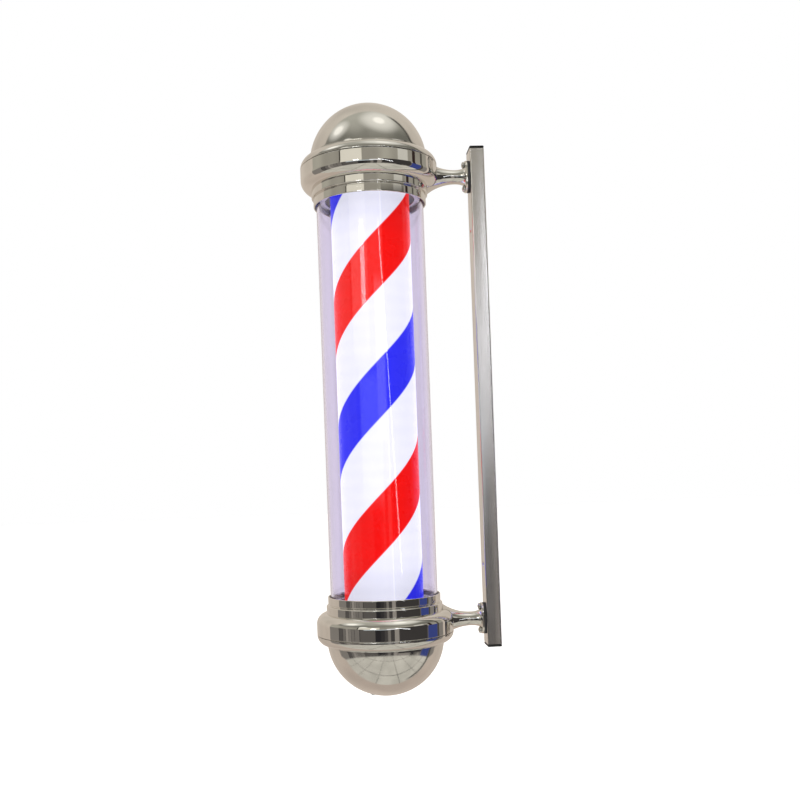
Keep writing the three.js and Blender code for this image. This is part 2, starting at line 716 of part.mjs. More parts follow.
// ---------------------------------------------------------------- tube, light and drum

function centrePieces() {
  const centre = new THREE.Group();
  const profile = box(LED_PROFILE_SIDE, LED_PROFILE_SIDE, 2 * ledHalfLength, [0, 0, 0])
    .subtract(cylinder(POST_RADIUS + GAP, -ledHalfLength - 1, ledHalfLength + 1));
  centre.add(
    piece('outer_tube', pipe(tubeBore, TUBE_RADIUS, -tubeEndZ, tubeEndZ, TUBE_SEGMENTS), 'clear'),
    piece('centre_post', pipe(POST_BORE, POST_RADIUS, -postHalfLength, postHalfLength), 'zinc'),
    piece('led_profile', profile, 'brushed'),
  );
  for (let face = 0; face < 4; face += 1) {
    const turn = new THREE.Group();
    const strip = box(LED_STRIP_THICKNESS, LED_STRIP_WIDTH, 2 * ledHalfLength, [0, 0, 0]);
    const mesh = piece(`led_strip_${face + 1}`, strip, 'board');
    mesh.position.x = (LED_PROFILE_SIDE + LED_STRIP_THICKNESS) / 2 + GAP;
    turn.rotation.z = (face * Math.PI) / 2;
    turn.add(mesh);
    centre.add(turn);
  }
  return centre;
}

function drumPieces() {
  const drum = new THREE.Group();
  const half = DISC_THICKNESS / 2;
  const disc = () => pipe(hubBore, drumBore - GAP, -half, half, SHELL_SEGMENTS);
  const gear = prism(gearShape(GEAR_TEETH, 2), -gearBottomZ, -gearTopZ)
    .subtract(cylinder(hubBore, -gearBottomZ - 1, -gearTopZ + 1));
  drum.add(
    piece('drum_film', pipe(drumRadius + GAP, filmRadius, -drumEndZ, drumEndZ, TUBE_SEGMENTS), 'film'),
    piece('drum_shell', pipe(drumBore, drumRadius, -drumEndZ, drumEndZ, TUBE_SEGMENTS), 'opal'),
    piece('drum_gear', gear, 'nylon'),
  );
  for (const [name, direction] of [['upper', 1], ['lower', -1]]) {
    const mesh = piece(`drum_${name}_disc`, disc(), 'opal');
    mesh.position.z = direction * (drumEndZ - half);
    drum.add(mesh);
  }
  return drum;
}

// Motor output: pinion on its shaft, a tooth gap turned towards the drum gear.
function pinionPiece() {
  const teeth = prism(gearShape(PINION_TEETH, 4), -gearBottomZ, -gearTopZ)
    .rotate([0, 0, 180 / PINION_TEETH]);
  const shaft = cylinder(MOTOR_SHAFT_RADIUS, -shaftEndZ, -gearTopZ);
  const mesh = piece('motor_pinion', teeth.add(shaft), 'nylon');
  mesh.position.y = -shaftOffset;
  return mesh;
}

// ---------------------------------------------------------------- wall rail

function rail() {
  const section = roundedRectangle(RAIL_WIDTH, RAIL_DEPTH, RAIL_WALL);
  const hollowHeight = 2 * railHalfLength + 2;
  let body = prism(section, -railHalfLength, railHalfLength, 3)
    .subtract(box(RAIL_WIDTH - 2 * RAIL_WALL, RAIL_DEPTH - 2 * RAIL_WALL, hollowHeight, [0, 0, 0]))
    .translate([0, -RAIL_DEPTH / 2, 0]);
  for (const side of [-1, 1]) {
    const wallHole = cylinder(WALL_HOLE_RADIUS, -RAIL_DEPTH - 1, 1).rotate([-90, 0, 0]);
    body = body.subtract(wallHole.translate([0, 0, side * wallHoleZ]));
    for (const offset of [-ARM_SCREW_SPREAD, ARM_SCREW_SPREAD]) {
      const [from, to] = [-RAIL_DEPTH - 1, RAIL_WALL + 1 - RAIL_DEPTH];
      const armHole = cylinder(ARM_SCREW_SHANK + GAP, from, to, SCREW_SEGMENTS);
      body = body.subtract(armHole.rotate([-90, 0, 0]).translate([0, 0, side * armZ + offset]));
    }
  }
  return body;
}

// Plastic end cap of the rail: a flange on a hollow plug, drawn for the upper end.
function railCap() {
  const plugWidth = RAIL_WIDTH - 2 * (RAIL_WALL + GAP);
  const plugDepth = RAIL_DEPTH - 2 * (RAIL_WALL + GAP);
  const [hollowWidth, hollowDepth] = [plugWidth - 2 * RAIL_PLUG_WALL, plugDepth - 2 * RAIL_PLUG_WALL];
  const hollowHeight = RAIL_PLUG_DEPTH + 1;
  const hollow = box(hollowWidth, hollowDepth, hollowHeight, [0, 0, -hollowHeight / 2]);
  return prism(roundedRectangle(RAIL_WIDTH, RAIL_DEPTH, RAIL_WALL), 0, RAIL_CAP_THICKNESS, 3)
    .add(box(plugWidth, plugDepth, RAIL_PLUG_DEPTH + 1, [0, 0, (1 - RAIL_PLUG_DEPTH) / 2]))
    .subtract(hollow);
}

function railPieces() {
  const unit = new THREE.Group();
  unit.add(piece('rail', rail(), 'brushed'));
  for (const [name, turn] of [['upper', 0], ['lower', Math.PI]]) {
    const cap = piece(`rail_${name}_cap`, railCap(), 'black');
    cap.rotation.y = turn;
    cap.position.set(0, -RAIL_DEPTH / 2, Math.cos(turn) * (railHalfLength + GAP));
    unit.add(cap);
  }
  return unit;
}

// ---------------------------------------------------------------- the whole object

function build() {
  const upperEnd = endPieces('upper', {
    domeBody: dome(180),
    plateBody: plate(),
    bushFlange: plateInnerZ - GAP - (drumEndZ + GAP),
    screwBearing: 180,
  });
  const lowerEnd = endPieces('lower', {
    domeBody: lowerDome(),
    plateBody: motorPlate(),
    bushFlange: plateInnerZ - GAP - (gearBottomZ + GAP),
    screwBearing: 0,
  });
  lowerEnd.add(electricPieces());
  lowerEnd.rotation.y = Math.PI;

  const pole = new THREE.Group();
  pole.position.y = poleY;
  pole.add(upperEnd, lowerEnd, centrePieces(), drumPieces(), pinionPiece());

  const object = new THREE.Group();
  object.add(railPieces(), pole);
  return object;
}

const group = build();

export default group;
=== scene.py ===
"""Barber pole light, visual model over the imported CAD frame.

A striped drum glows inside a clear tube, between two chromed domed ends that two trumpet arms
hold off a brushed wall rail. Sizes are in millimetres until a mesh is made, the scene is in metres.
"""

from __future__ import annotations

import logging
import math
from dataclasses import dataclass, field
from enum import Enum

import bmesh
import bpy
from mathutils import Matrix, Vector

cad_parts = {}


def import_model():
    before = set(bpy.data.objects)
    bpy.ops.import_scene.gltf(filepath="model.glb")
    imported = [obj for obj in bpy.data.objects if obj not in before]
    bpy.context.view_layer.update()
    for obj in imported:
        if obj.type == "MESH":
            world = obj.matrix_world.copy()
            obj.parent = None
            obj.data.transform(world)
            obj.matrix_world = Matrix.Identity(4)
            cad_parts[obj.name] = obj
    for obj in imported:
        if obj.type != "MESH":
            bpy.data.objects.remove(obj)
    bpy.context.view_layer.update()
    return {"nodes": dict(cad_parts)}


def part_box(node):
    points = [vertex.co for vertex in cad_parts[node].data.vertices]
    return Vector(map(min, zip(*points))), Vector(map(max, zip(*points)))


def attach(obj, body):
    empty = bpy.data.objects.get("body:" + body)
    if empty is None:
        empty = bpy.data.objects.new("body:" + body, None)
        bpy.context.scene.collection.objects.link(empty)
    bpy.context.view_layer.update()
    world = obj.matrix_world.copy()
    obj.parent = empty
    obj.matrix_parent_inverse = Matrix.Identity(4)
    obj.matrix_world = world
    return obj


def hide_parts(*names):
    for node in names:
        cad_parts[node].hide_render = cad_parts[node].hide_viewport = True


LOG = logging.getLogger("barber_pole_light")

MM = 0.001
SPIN_STEPS = 192
FINE_STEPS = 256
SMALL_STEPS = 64
ARC_STEPS = 10
SHARP_ANGLE = math.radians(34)

# Metres between the lamps of a strip, strips round the drum, and degrees from +X to the film's lap.
LAMP_PITCH = 0.0167
LAMP_BANKS = 4.0
SEAM_BEARING = 11.0

Point2 = tuple[float, float]
Point3 = tuple[float, float, float]
Colour = tuple[float, float, float]


class Body(Enum):
    """The rigid bodies of the object."""

    FRAME = "frame"
    DRUM = "drum"
    MOTOR = "motor_output"


class End(Enum):
    """The two ends of the pole; the value is the sign of their height."""

    UPPER = 1
    LOWER = -1

    @property
    def label(self) -> str:
        """Name of the end as the CAD nodes spell it."""
        return self.name.lower()

    def placed(self) -> Matrix:
        """Turn that takes a piece drawn for the upper end to this end."""
        return Matrix.Identity(4) if self is End.UPPER else Matrix.Rotation(math.pi, 4, "Y")


# ---------------------------------------------------------------- outlines


def arc(centre: Point2, radii: Point2, start: float, end: float, steps: int) -> list[Point2]:
    """Points on an ellipse.

    Args:
        centre: Middle of the ellipse.
        radii: Its two half axes.
        start: First angle in degrees.
        end: Last angle in degrees.
        steps: Number of equal turns between them.

    Returns:
        The points from start to end.
    """
    points = []
    for step in range(steps + 1):
        angle = math.radians(start + (end - start) * step / steps)
        points.append((centre[0] + radii[0] * math.cos(angle), centre[1] + radii[1] * math.sin(angle)))
    return points


@dataclass(frozen=True)
class Corner:
    """A corner of an outline and the radius that rounds it."""

    x: float
    y: float
    fillet: float = 0.0


def rounded(corners: list[Corner], steps: int = 6) -> list[Point2]:
    """Closed outline with its corners rounded.

    Args:
        corners: Corners in order; one with a zero fillet stays sharp.
        steps: Segments of each round.

    Returns:
        The points of the outline.
    """
    points: list[Point2] = []
    count = len(corners)
    for index, corner in enumerate(corners):
        here = Vector((corner.x, corner.y))
        if corner.fillet <= 0:
            points.append((here.x, here.y))
            continue
        before = corners[index - 1]
        after = corners[(index + 1) % count]
        inward = (Vector((before.x, before.y)) - here).normalized()
        outward = (Vector((after.x, after.y)) - here).normalized()
        half = math.acos(max(-1.0, min(1.0, inward.dot(outward)))) / 2
        reach = corner.fillet / math.tan(half)
        centre = here + (inward + outward).normalized() * corner.fillet / math.sin(half)
        first = here + inward * reach - centre
        last = here + outward * reach - centre
        turn = first.angle_signed(last)
        for step in range(steps + 1):
            spoke = Matrix.Rotation(-turn * step / steps, 2) @ first
            points.append((centre.x + spoke.x, centre.y + spoke.y))
    return points


def supported(points: list[Point2], hold: float = 0.4) -> list[Point2]:
    """Adds points near both ends of long straight runs, so that shading stays true across them.

    Args:
        points: Closed outline.
        hold: Distance of the added points from the ends of a run.

    Returns:
        The outline with the added points.
    """
    held: list[Point2] = []
    for index, point in enumerate(points):
        here = Vector(point)
        there = Vector(points[(index + 1) % len(points)])
        held.append(point)
        run = there - here
        if run.length > 4 * hold:
            step = run.normalized() * hold
            held.append(tuple(here + step))
            held.append(tuple(there - step))
    return held


def rounded_loop(width: float, height: float, corner: float, steps: int = ARC_STEPS) -> list[Point2]:
    """Rectangle with round corners about the origin.

    Args:
        width: Size along X.
        height: Size along Y.
        corner: Radius of the corners.
        steps: Segments of each corner.

    Returns:
        The points of the loop, counter-clockwise.
    """
    x = width / 2 - corner
    y = height / 2 - corner
    points: list[Point2] = []
    for centre, start in (((x, y), 0), ((-x, y), 90), ((-x, -y), 180), ((x, -y), 270)):
        points += arc(centre, (corner, corner), start, start + 90, steps)
    return points


# ---------------------------------------------------------------- meshes


class MeshShop:
    """Turns outlines in millimetres into finished mesh objects."""

    @staticmethod
    def publish(name: str, work: bmesh.types.BMesh) -> bpy.types.Object:
        """Makes an object of a bmesh, with outward faces and smooth shading.

        Args:
            name: Name of the piece.
            work: The bmesh in metres; it is freed.

        Returns:
            The object, linked to the scene.
        """
        bmesh.ops.recalc_face_normals(work, faces=work.faces)
        mesh = bpy.data.meshes.new(name)
        work.to_mesh(mesh)
        work.free()
        mesh.shade_smooth()
        mesh.set_sharp_from_angle(angle=SHARP_ANGLE)
        piece = bpy.data.objects.new(name, mesh)
        bpy.context.scene.collection.objects.link(piece)
        return piece

    @staticmethod
    def spun(name: str, outline: list[Point2], steps: int = SPIN_STEPS) -> bpy.types.Object:
        """Solid of revolution about Z.

        Args:
            name: Name of the piece.
            outline: Closed outline of radius and height in millimetres.
            steps: Facets round the full turn.

        Returns:
            The object.
        """
        work = bmesh.new()
        rings = []
        for radius, height in outline:
            count = 1 if radius < 1e-6 else steps
            ring = []
            for step in range(count):
                angle = 2 * math.pi * step / steps
                place = Vector((radius * math.cos(angle), radius * math.sin(angle), height))
                ring.append(work.verts.new(place * MM))
            rings.append(ring)
        for index, ring in enumerate(rings):
            following = rings[(index + 1) % len(rings)]
            if len(ring) == 1 and len(following) == 1:
                continue
            for step in range(steps):
                after = (step + 1) % steps
                if len(ring) == 1:
                    work.faces.new((ring[0], following[after], following[step]))
                elif len(following) == 1:
                    work.faces.new((ring[step], ring[after], following[0]))
                else:
                    work.faces.new((ring[step], ring[after], following[after], following[step]))
        return MeshShop.publish(name, work)

    @staticmethod
    def stacked(name: str, levels: list[tuple[list[Point2], float]], ring: bool = False) -> bpy.types.Object:
        """Skin over loops that lie at different heights.

        Args:
            name: Name of the piece.
            levels: Loops with the same number of points, each with its height, in millimetres.
            ring: True joins the last loop to the first, False closes both ends with a face.

        Returns:
            The object.
        """
        work = bmesh.new()
        loops = []
        for loop, height in levels:
            loops.append([work.verts.new(Vector((x, y, height)) * MM) for x, y in loop])
        pairs = list(zip(loops, loops[1:]))
        if ring:
            pairs.append((loops[-1], loops[0]))
        for below, above in pairs:
            for index in range(len(below)):
                after = (index + 1) % len(below)
                work.faces.new((below[index], below[after], above[after], above[index]))
        if not ring:
            work.faces.new(loops[0][::-1])
            work.faces.new(loops[-1])
        return MeshShop.publish(name, work)

    @staticmethod
    def pillow_plate(
        name: str, size: Point2, corner: float, thickness: float, edge: float
    ) -> bpy.types.Object:
        """Plate with round corners and round edges, standing on z = 0.

        Args:
            name: Name of the piece.
            size: Width and height of the plate.
            corner: Radius of its corners.
            thickness: Its thickness along Z.
            edge: Radius of its edges.

        Returns:
            The object.
        """
        levels = []
        steps = 5
        for base, sign in ((edge, -1), (thickness - edge, 1)):
            angles = range(steps + 1)
            for step in angles if sign > 0 else reversed(angles):
                angle = math.radians(90 * step / steps)
                inset = edge * (1 - math.cos(angle))
                loop = rounded_loop(size[0] - 2 * inset, size[1] - 2 * inset, corner - inset)
                levels.append((loop, base + sign * edge * math.sin(angle)))
        return MeshShop.stacked(name, levels)

    @staticmethod
    def moved(piece: bpy.types.Object, *turns: Matrix) -> bpy.types.Object:
        """Carries a piece's mesh through the matrices in turn; returns the piece."""
        for turn in turns:
            piece.data.transform(turn)
        return piece

    @staticmethod
    def carved(piece: bpy.types.Object, cutter: bpy.types.Object, keep: bool = False) -> bpy.types.Object:
        """Cuts one piece with another.

        Args:
            piece: The piece that is cut.
            cutter: The piece that cuts.
            keep: True keeps the cutter for another cut.

        Returns:
            The cut piece.
        """
        modifier = piece.modifiers.new("cut", "BOOLEAN")
        modifier.operation = "DIFFERENCE"
        modifier.solver = "EXACT"
        modifier.object = cutter
        bpy.context.view_layer.update()
        graph = bpy.context.evaluated_depsgraph_get()
        mesh = bpy.data.meshes.new_from_object(piece.evaluated_get(graph))
        old = piece.data
        piece.modifiers.clear()
        piece.data = mesh
        mesh.name = piece.name
        bpy.data.meshes.remove(old)
        mesh.shade_smooth()
        mesh.set_sharp_from_angle(angle=SHARP_ANGLE)
        if not keep:
            MeshShop.discard(cutter)
        return piece

    @staticmethod
    def merged(piece: bpy.types.Object, other: bpy.types.Object) -> bpy.types.Object:
        """Adds another piece's faces to a piece, which then are one casting; returns the piece."""
        work = bmesh.new()
        work.from_mesh(piece.data)
        work.from_mesh(other.data)
        work.to_mesh(piece.data)
        work.free()
        piece.data.shade_smooth()
        piece.data.set_sharp_from_angle(angle=SHARP_ANGLE)
        MeshShop.discard(other)
        return piece

    @staticmethod
    def discard(piece: bpy.types.Object) -> None:
        """Removes a helper object and its mesh."""
        mesh = piece.data
        bpy.data.objects.remove(piece)
        bpy.data.meshes.remove(mesh)


ALONG_Y = Matrix.Rotation(-math.pi / 2, 4, "X")


def shifted(x: float = 0.0, y: float = 0.0, z: float = 0.0) -> Matrix:
    """Translation by millimetres."""
    return Matrix.Translation(Vector((x, y, z)) * MM)


# ---------------------------------------------------------------- node trees


class Graph:
    """Short way to write a material's or world's node tree."""

    def __init__(self, owner: bpy.types.Material | bpy.types.World) -> None:
        """Clears the owner's tree.

        Args:
            owner: Material or world whose nodes are written.
        """
        owner.use_nodes = True
        self.tree = owner.node_tree
        self.tree.nodes.clear()

    def node(
        self, kind: str, inputs: dict[str | int, object] | None = None, **settings: object
    ) -> bpy.types.Node:
        """Adds a node.

        Args:
            kind: Node type without its ShaderNode prefix.
            inputs: Socket values, or sockets that are linked into them.
            settings: Properties of the node.

        Returns:
            The node.
        """
        made = self.tree.nodes.new("ShaderNode" + kind)
        for name, value in settings.items():
            setattr(made, name, value)
        for name, value in (inputs or {}).items():
            if isinstance(value, bpy.types.NodeSocket):
                self.tree.links.new(value, made.inputs[name])
            else:
                made.inputs[name].default_value = value
        return made

    def maths(self, operation: str, *values: object) -> bpy.types.NodeSocket:
        """Result of a maths node on numbers or sockets."""
        return self.node("Math", dict(enumerate(values)), operation=operation).outputs[0]

    def span(
        self, value: bpy.types.NodeSocket, source: Point2, target: Point2, smooth: bool = False
    ) -> bpy.types.NodeSocket:
        """Maps a value from one range to another, clamped.

        Args:
            value: The value.
            source: Range it comes from.
            target: Range it goes to.
            smooth: True eases both ends.

        Returns:
            The mapped value.
        """
        kind = "SMOOTHSTEP" if smooth else "LINEAR"
        sockets = {0: value, 1: source[0], 2: source[1], 3: target[0], 4: target[1]}
        return self.node("MapRange", sockets, interpolation_type=kind).outputs[0]

    def blend(self, share: object, first: object, second: object) -> bpy.types.NodeSocket:
        """Colour between two colours or colour sockets by a share from 0 to 1."""
        made = self.node("Mix", data_type="RGBA")
        for index, value in ((0, share), (6, first), (7, second)):
            if isinstance(value, bpy.types.NodeSocket):
                self.tree.links.new(value, made.inputs[index])
            elif index:
                made.inputs[index].default_value = (*value, 1.0)
            else:
                made.inputs[index].default_value = value
        return made.outputs[2]

    def noise(
        self, place: bpy.types.NodeSocket, scale: float, detail: float = 3.0, stretch: Point3 = (1, 1, 1)
    ) -> bpy.types.NodeSocket:
        """Noise over the object's own coordinates.

        Args:
            place: Coordinates.
            scale: Cells in a metre.
            detail: Octaves of finer noise.
            stretch: Factor on each axis.

        Returns:
            The noise value from 0 to 1.
        """
        mapped = self.node("Mapping", {"Vector": place, "Scale": stretch}).outputs[0]
        return self.node("TexNoise", {"Vector": mapped, "Scale": scale, "Detail": detail}).outputs[0]

    def place(self) -> bpy.types.NodeSocket:
        """The object's own coordinates in metres."""
        return self.node("TexCoord").outputs["Object"]

    def bump(self, height: bpy.types.NodeSocket, depth: float, strength: float = 1.0) -> bpy.types.NodeSocket:
        """Normal of a bumped surface; depth is in metres."""
        sockets = {"Height": height, "Distance": depth, "Strength": strength}
        return self.node("Bump", sockets).outputs["Normal"]

    def surface(self, shader: bpy.types.Node) -> None:
        """Sends a shader node to the output."""
        out = self.node("OutputMaterial")
        self.tree.links.new(shader.outputs[0], out.inputs["Surface"])


# ---------------------------------------------------------------- finishes


@dataclass(frozen=True)
class PlatedMetal:
    """Polished or plated metal with faint handling marks and wavy pressed sheet.

    Attributes:
        name: Name of the material and of the record's slot.
        colour: Reflected colour.
        roughness: Lowest and highest roughness.
        waviness: Depth in metres of the long waves left by pressing.
        grain: Depth in metres of the fine grain.
    """

    name: str
    colour: Colour
    roughness: Point2
    waviness: float = 0.0
    grain: float = 0.0

    def build(self) -> bpy.types.Material:
        """Writes the material."""
        material = bpy.data.materials.new(self.name)
        graph = Graph(material)
        place = graph.place()
        smudge = graph.noise(place, 34, 5)
        cloud = graph.noise(place, 9, 2)
        tone = graph.span(smudge, (0.35, 0.7), (0.0, 1.0))
        worn = tuple(0.93 * channel for channel in self.colour)
        shade = graph.blend(tone, self.colour, worn)
        rough = graph.span(smudge, (0.4, 0.72), self.roughness, True)
        height = graph.maths("MULTIPLY", cloud, self.waviness)
        fine = graph.maths("MULTIPLY", graph.noise(place, 900, 2), self.grain)
        normal = graph.bump(graph.maths("ADD", height, fine), 1.0)
        sockets = {"Base Color": shade, "Roughness": rough, "Normal": normal, "Metallic": 1.0}
        graph.surface(graph.node("BsdfPrincipled", sockets))
        return material


@dataclass(frozen=True)
class BrushedMetal:
    """Metal brushed in long fine lines along Z.

    Attributes:
        name: Name of the material and of the record's slot.
        colour: Reflected colour.
        roughness: Lowest and highest roughness.
        line_depth: Depth in metres of the brush lines.
        across: Brush lines in a metre across the grain.
    """

    name: str
    colour: Colour
    roughness: Point2
    line_depth: float = 0.0000015
    across: float = 2600.0

    def build(self) -> bpy.types.Material:
        """Writes the material."""
        material = bpy.data.materials.new(self.name)
        graph = Graph(material)
        place = graph.place()
        lines = graph.noise(place, self.across, 2, (1, 1, 0.012))
        streaks = graph.noise(place, 260, 3, (1, 1, 0.03))
        smudge = graph.noise(place, 22, 4)
        dark = tuple(0.94 * channel for channel in self.colour)
        shade = graph.blend(graph.span(streaks, (0.35, 0.65), (0.0, 1.0)), self.colour, dark)
        scratched = graph.maths("MULTIPLY", lines, 0.7)
        handled = graph.maths("MULTIPLY", smudge, 0.3)
        rough = graph.span(graph.maths("ADD", scratched, handled), (0.35, 0.65), self.roughness)
        normal = graph.bump(lines, self.line_depth)
        sockets = {"Base Color": shade, "Roughness": rough, "Normal": normal, "Metallic": 1.0}
        sockets["Anisotropic"] = 0.35
        graph.surface(graph.node("BsdfPrincipled", sockets))
        return material


@dataclass(frozen=True)
class Moulding:
    """Moulded plastic or rubber with a fine skin.

    Attributes:
        name: Name of the material and of the record's slot.
        colour: Colour of the clean skin.
        roughness: Lowest and highest roughness.
        skin: Grains of the skin in a metre.
        depth: Depth in metres of the skin.
        glow: Strength of light that comes through it.
        sheen: Strength of the skin's reflection, 0.5 for plain plastic.
    """

    name: str
    colour: Colour
    roughness: Point2
    skin: float = 700.0
    depth: float = 0.00002
    glow: float = 0.0
    sheen: float = 0.5

    def build(self) -> bpy.types.Material:
        """Writes the material."""
        material = bpy.data.materials.new(self.name)
        graph = Graph(material)
        place = graph.place()
        grains = graph.noise(place, self.skin, 3)
        dust = graph.noise(place, 45, 5)
        dusty = tuple(channel + (0.5 - channel) * 0.05 for channel in self.colour)
        shade = graph.blend(graph.span(dust, (0.45, 0.75), (0.0, 1.0)), self.colour, dusty)
        rough = graph.span(dust, (0.35, 0.7), self.roughness)
        sockets = {"Base Color": shade, "Roughness": rough, "Normal": graph.bump(grains, self.depth)}
        sockets["Specular IOR Level"] = self.sheen
        if self.glow > 0:
            sockets["Emission Color"] = shade
            sockets["Emission Strength"] = self.glow
        graph.surface(graph.node("BsdfPrincipled", sockets))
        return material


@dataclass(frozen=True)
class ClearAcrylic:
    """Clear extruded acrylic tube with a cool tint and faint extrusion lines.

    Attributes:
        name: Name of the material and of the record's slot.
        tint: Colour that light takes on its way through a wall.
        refraction: Index of refraction.
    """

    name: str = "clear_tube"
    tint: Colour = (0.885, 0.87, 0.985)
    refraction: float = 1.49

    def build(self) -> bpy.types.Material:
        """Writes the material."""
        material = bpy.data.materials.new(self.name)
        graph = Graph(material)
        place = graph.place()
        lines = graph.noise(place, 90, 2, (1, 1, 0.02))
        smudge = graph.noise(place, 26, 4)
        hazy = tuple(0.97 * channel for channel in self.tint)
        shade = graph.blend(graph.span(smudge, (0.5, 0.8), (0.0, 1.0)), self.tint, hazy)
        rough = graph.span(smudge, (0.45, 0.8), (0.0, 0.03))
        sockets = {
            "Base Color": shade,
            "Roughness": rough,
            "Normal": graph.bump(lines, 0.000012),
            "IOR": self.refraction,
            "Transmission Weight": 1.0,
        }
        graph.surface(graph.node("BsdfPrincipled", sockets))
        return material


@dataclass(frozen=True)
class StripedFilm:
    """Lit film with one red and one blue band that climb round the drum.

    Attributes:
        name: Name of the material and of the record's slot.
        axis_y: Place of the drum's axis along Y in metres.
        pitch: Climb of a band in one turn, in metres.
        red_share: Height of the red band over half the pitch.
        blue_share: Height of the blue band over half the pitch.
        blue_lead: Climb of the blue band past half a pitch above the red, over the pitch.
        red_height: Height in metres of a red band's middle where it faces +X.
        edge_blur: Half width in metres of a band's printed edge.
        dot_depth: Share of the light that ripples from lamp to lamp.
        bank_depth: Share that ripples from one bank of lamps to the next.
        painted_seam_highlight: Share of painted highlight that the film adds along its lap.
        dimming: Share that is lost at an end.
        dim_ends: Heights in metres between which the light fades toward an end.
        glow: Strength of the light through the white ground.
        ink: Share of room light that the print swallows.
        red: Colour of the red band.
        blue: Colour of the blue band.
        white: Colour of the ground between them.
    """

    name: str = "stripe_film"
    axis_y: float = -0.137
    pitch: float = 0.297
    red_share: float = 0.46
    blue_share: float = 0.445
    blue_lead: float = 0.010
    red_height: float = 0.1545
    edge_blur: float = 0.0012
    dot_depth: float = 0.012
    bank_depth: float = 0.035
    painted_seam_highlight: float = 0.10
    dimming: float = 0.22
    dim_ends: Point2 = (0.175, 0.243)
    glow: float = 1.14
    ink: float = 0.82
    red: Colour = (0.96, 0.004, 0.002)
    blue: Colour = (0.030, 0.032, 0.86)
    white: Colour = (0.95, 0.965, 1.0)

    def stripe(
        self, graph: Graph, climb: bpy.types.NodeSocket, middle: float, share: float
    ) -> bpy.types.NodeSocket:
        """Share of one band at a place on the film.

        Args:
            graph: The material's graph.
            climb: Height less the helix, over the pitch.
            middle: The band's middle on the same scale.
            share: Height of the band over half the pitch.

        Returns:
            1 inside the band, 0 outside it.
        """
        offset = graph.maths("ADD", climb, 0.5 - middle)
        wrapped = graph.maths("SUBTRACT", graph.maths("FRACT", offset), 0.5)
        away = graph.maths("ABSOLUTE", wrapped)
        edge = share / 4
        blur = self.edge_blur / self.pitch
        return graph.span(away, (edge - blur, edge + blur), (1.0, 0.0), True)

    def brightness(
        self, graph: Graph, bearing: bpy.types.NodeSocket, height: bpy.types.NodeSocket
    ) -> bpy.types.NodeSocket:
        """Strength of the light through the film, with the lamps, a painted highlight along the seam and the
        dimmer ends.

        Args:
            graph: The material's graph.
            bearing: Bearing round the drum in radians.
            height: Height in metres.

        Returns:
            The strength.
        """
        lamps = graph.maths("SINE", graph.maths("MULTIPLY", height, 2 * math.pi / LAMP_PITCH))
        banks = graph.maths("COSINE", graph.maths("MULTIPLY", bearing, LAMP_BANKS))
        dots = graph.maths("MULTIPLY", lamps, self.dot_depth)
        ripple = graph.maths("ADD", dots, graph.maths("MULTIPLY", banks, self.bank_depth))
        off_seam = graph.maths("ABSOLUTE", graph.maths("SUBTRACT", bearing, math.radians(SEAM_BEARING)))
        # Painted highlight: the film glows brighter in a thin strip along its lap.
        seam = graph.span(off_seam, (0.008, 0.020), (self.painted_seam_highlight, 0.0), True)
        ends = graph.span(graph.maths("ABSOLUTE", height), self.dim_ends, (0.0, -self.dimming), True)
        level = graph.maths("ADD", graph.maths("ADD", ripple, seam), ends)
        return graph.maths("MULTIPLY", graph.maths("ADD", level, 1.0), self.glow)

    def build(self) -> bpy.types.Material:
        """Writes the material."""
        material = bpy.data.materials.new(self.name)
        graph = Graph(material)
        place = graph.place()
        axes = graph.node("SeparateXYZ", {0: place})
        across = graph.maths("SUBTRACT", axes.outputs[1], self.axis_y)
        bearing = graph.maths("ARCTAN2", across, axes.outputs[0])
        turns = graph.maths("DIVIDE", bearing, 2 * math.pi)
        climb = graph.maths("SUBTRACT", graph.maths("DIVIDE", axes.outputs[2], self.pitch), turns)
        start = self.red_height / self.pitch
        red = self.stripe(graph, climb, start, self.red_share)
        blue = self.stripe(graph, climb, start + 0.5 + self.blue_lead, self.blue_share)
        mottle = graph.noise(place, 60, 4)
        faded = graph.span(mottle, (0.35, 0.7), (0.0, 0.35))
        ground = graph.blend(faded, self.white, (0.89, 0.91, 0.985))
        colour = graph.blend(blue, graph.blend(red, ground, self.red), self.blue)
        strength = self.brightness(graph, bearing, axes.outputs[2])
        weave = graph.noise(place, 1400, 2)
        printed = graph.blend(self.ink, colour, (0.008, 0.008, 0.010))
        sockets = {
            "Base Color": printed,
            "Roughness": graph.span(mottle, (0.3, 0.7), (0.22, 0.36)),
            "Normal": graph.bump(weave, 0.000006),
            "Specular IOR Level": 0.22,
            "Emission Color": colour,
            "Emission Strength": strength,
        }
        graph.surface(graph.node("BsdfPrincipled", sockets))
        return material


@dataclass(frozen=True)
class LampBoard:
    """White circuit board with a row of small glowing lamps.

    Attributes:
        name: Name of the material and of the record's slot.
    """

    name: str = "led_board"

    def build(self) -> bpy.types.Material:
        """Writes the material."""
        material = bpy.data.materials.new(self.name)
        graph = Graph(material)
        place = graph.place()
        axes = graph.node("SeparateXYZ", {0: place})
        cell = graph.maths("FRACT", graph.maths("DIVIDE", axes.outputs[2], LAMP_PITCH))
        off_lamp = graph.maths("ABSOLUTE", graph.maths("SUBTRACT", cell, 0.5))
        lamp = graph.span(off_lamp, (0.14, 0.16), (1.0, 0.0))
        dust = graph.noise(place, 120, 3)
        dusty = graph.span(dust, (0.4, 0.7), (0.0, 1.0))
        board = graph.blend(dusty, (0.86, 0.88, 0.84), (0.78, 0.80, 0.76))
        shade = graph.blend(lamp, board, (0.95, 0.86, 0.45))
        sockets = {
            "Base Color": shade,
            "Roughness": graph.span(dust, (0.3, 0.7), (0.3, 0.5)),
            "Normal": graph.bump(lamp, 0.0002),
            "Emission Color": shade,
            "Emission Strength": graph.maths("MULTIPLY", lamp, 1.5),
        }
        graph.surface(graph.node("BsdfPrincipled", sockets))
        return material


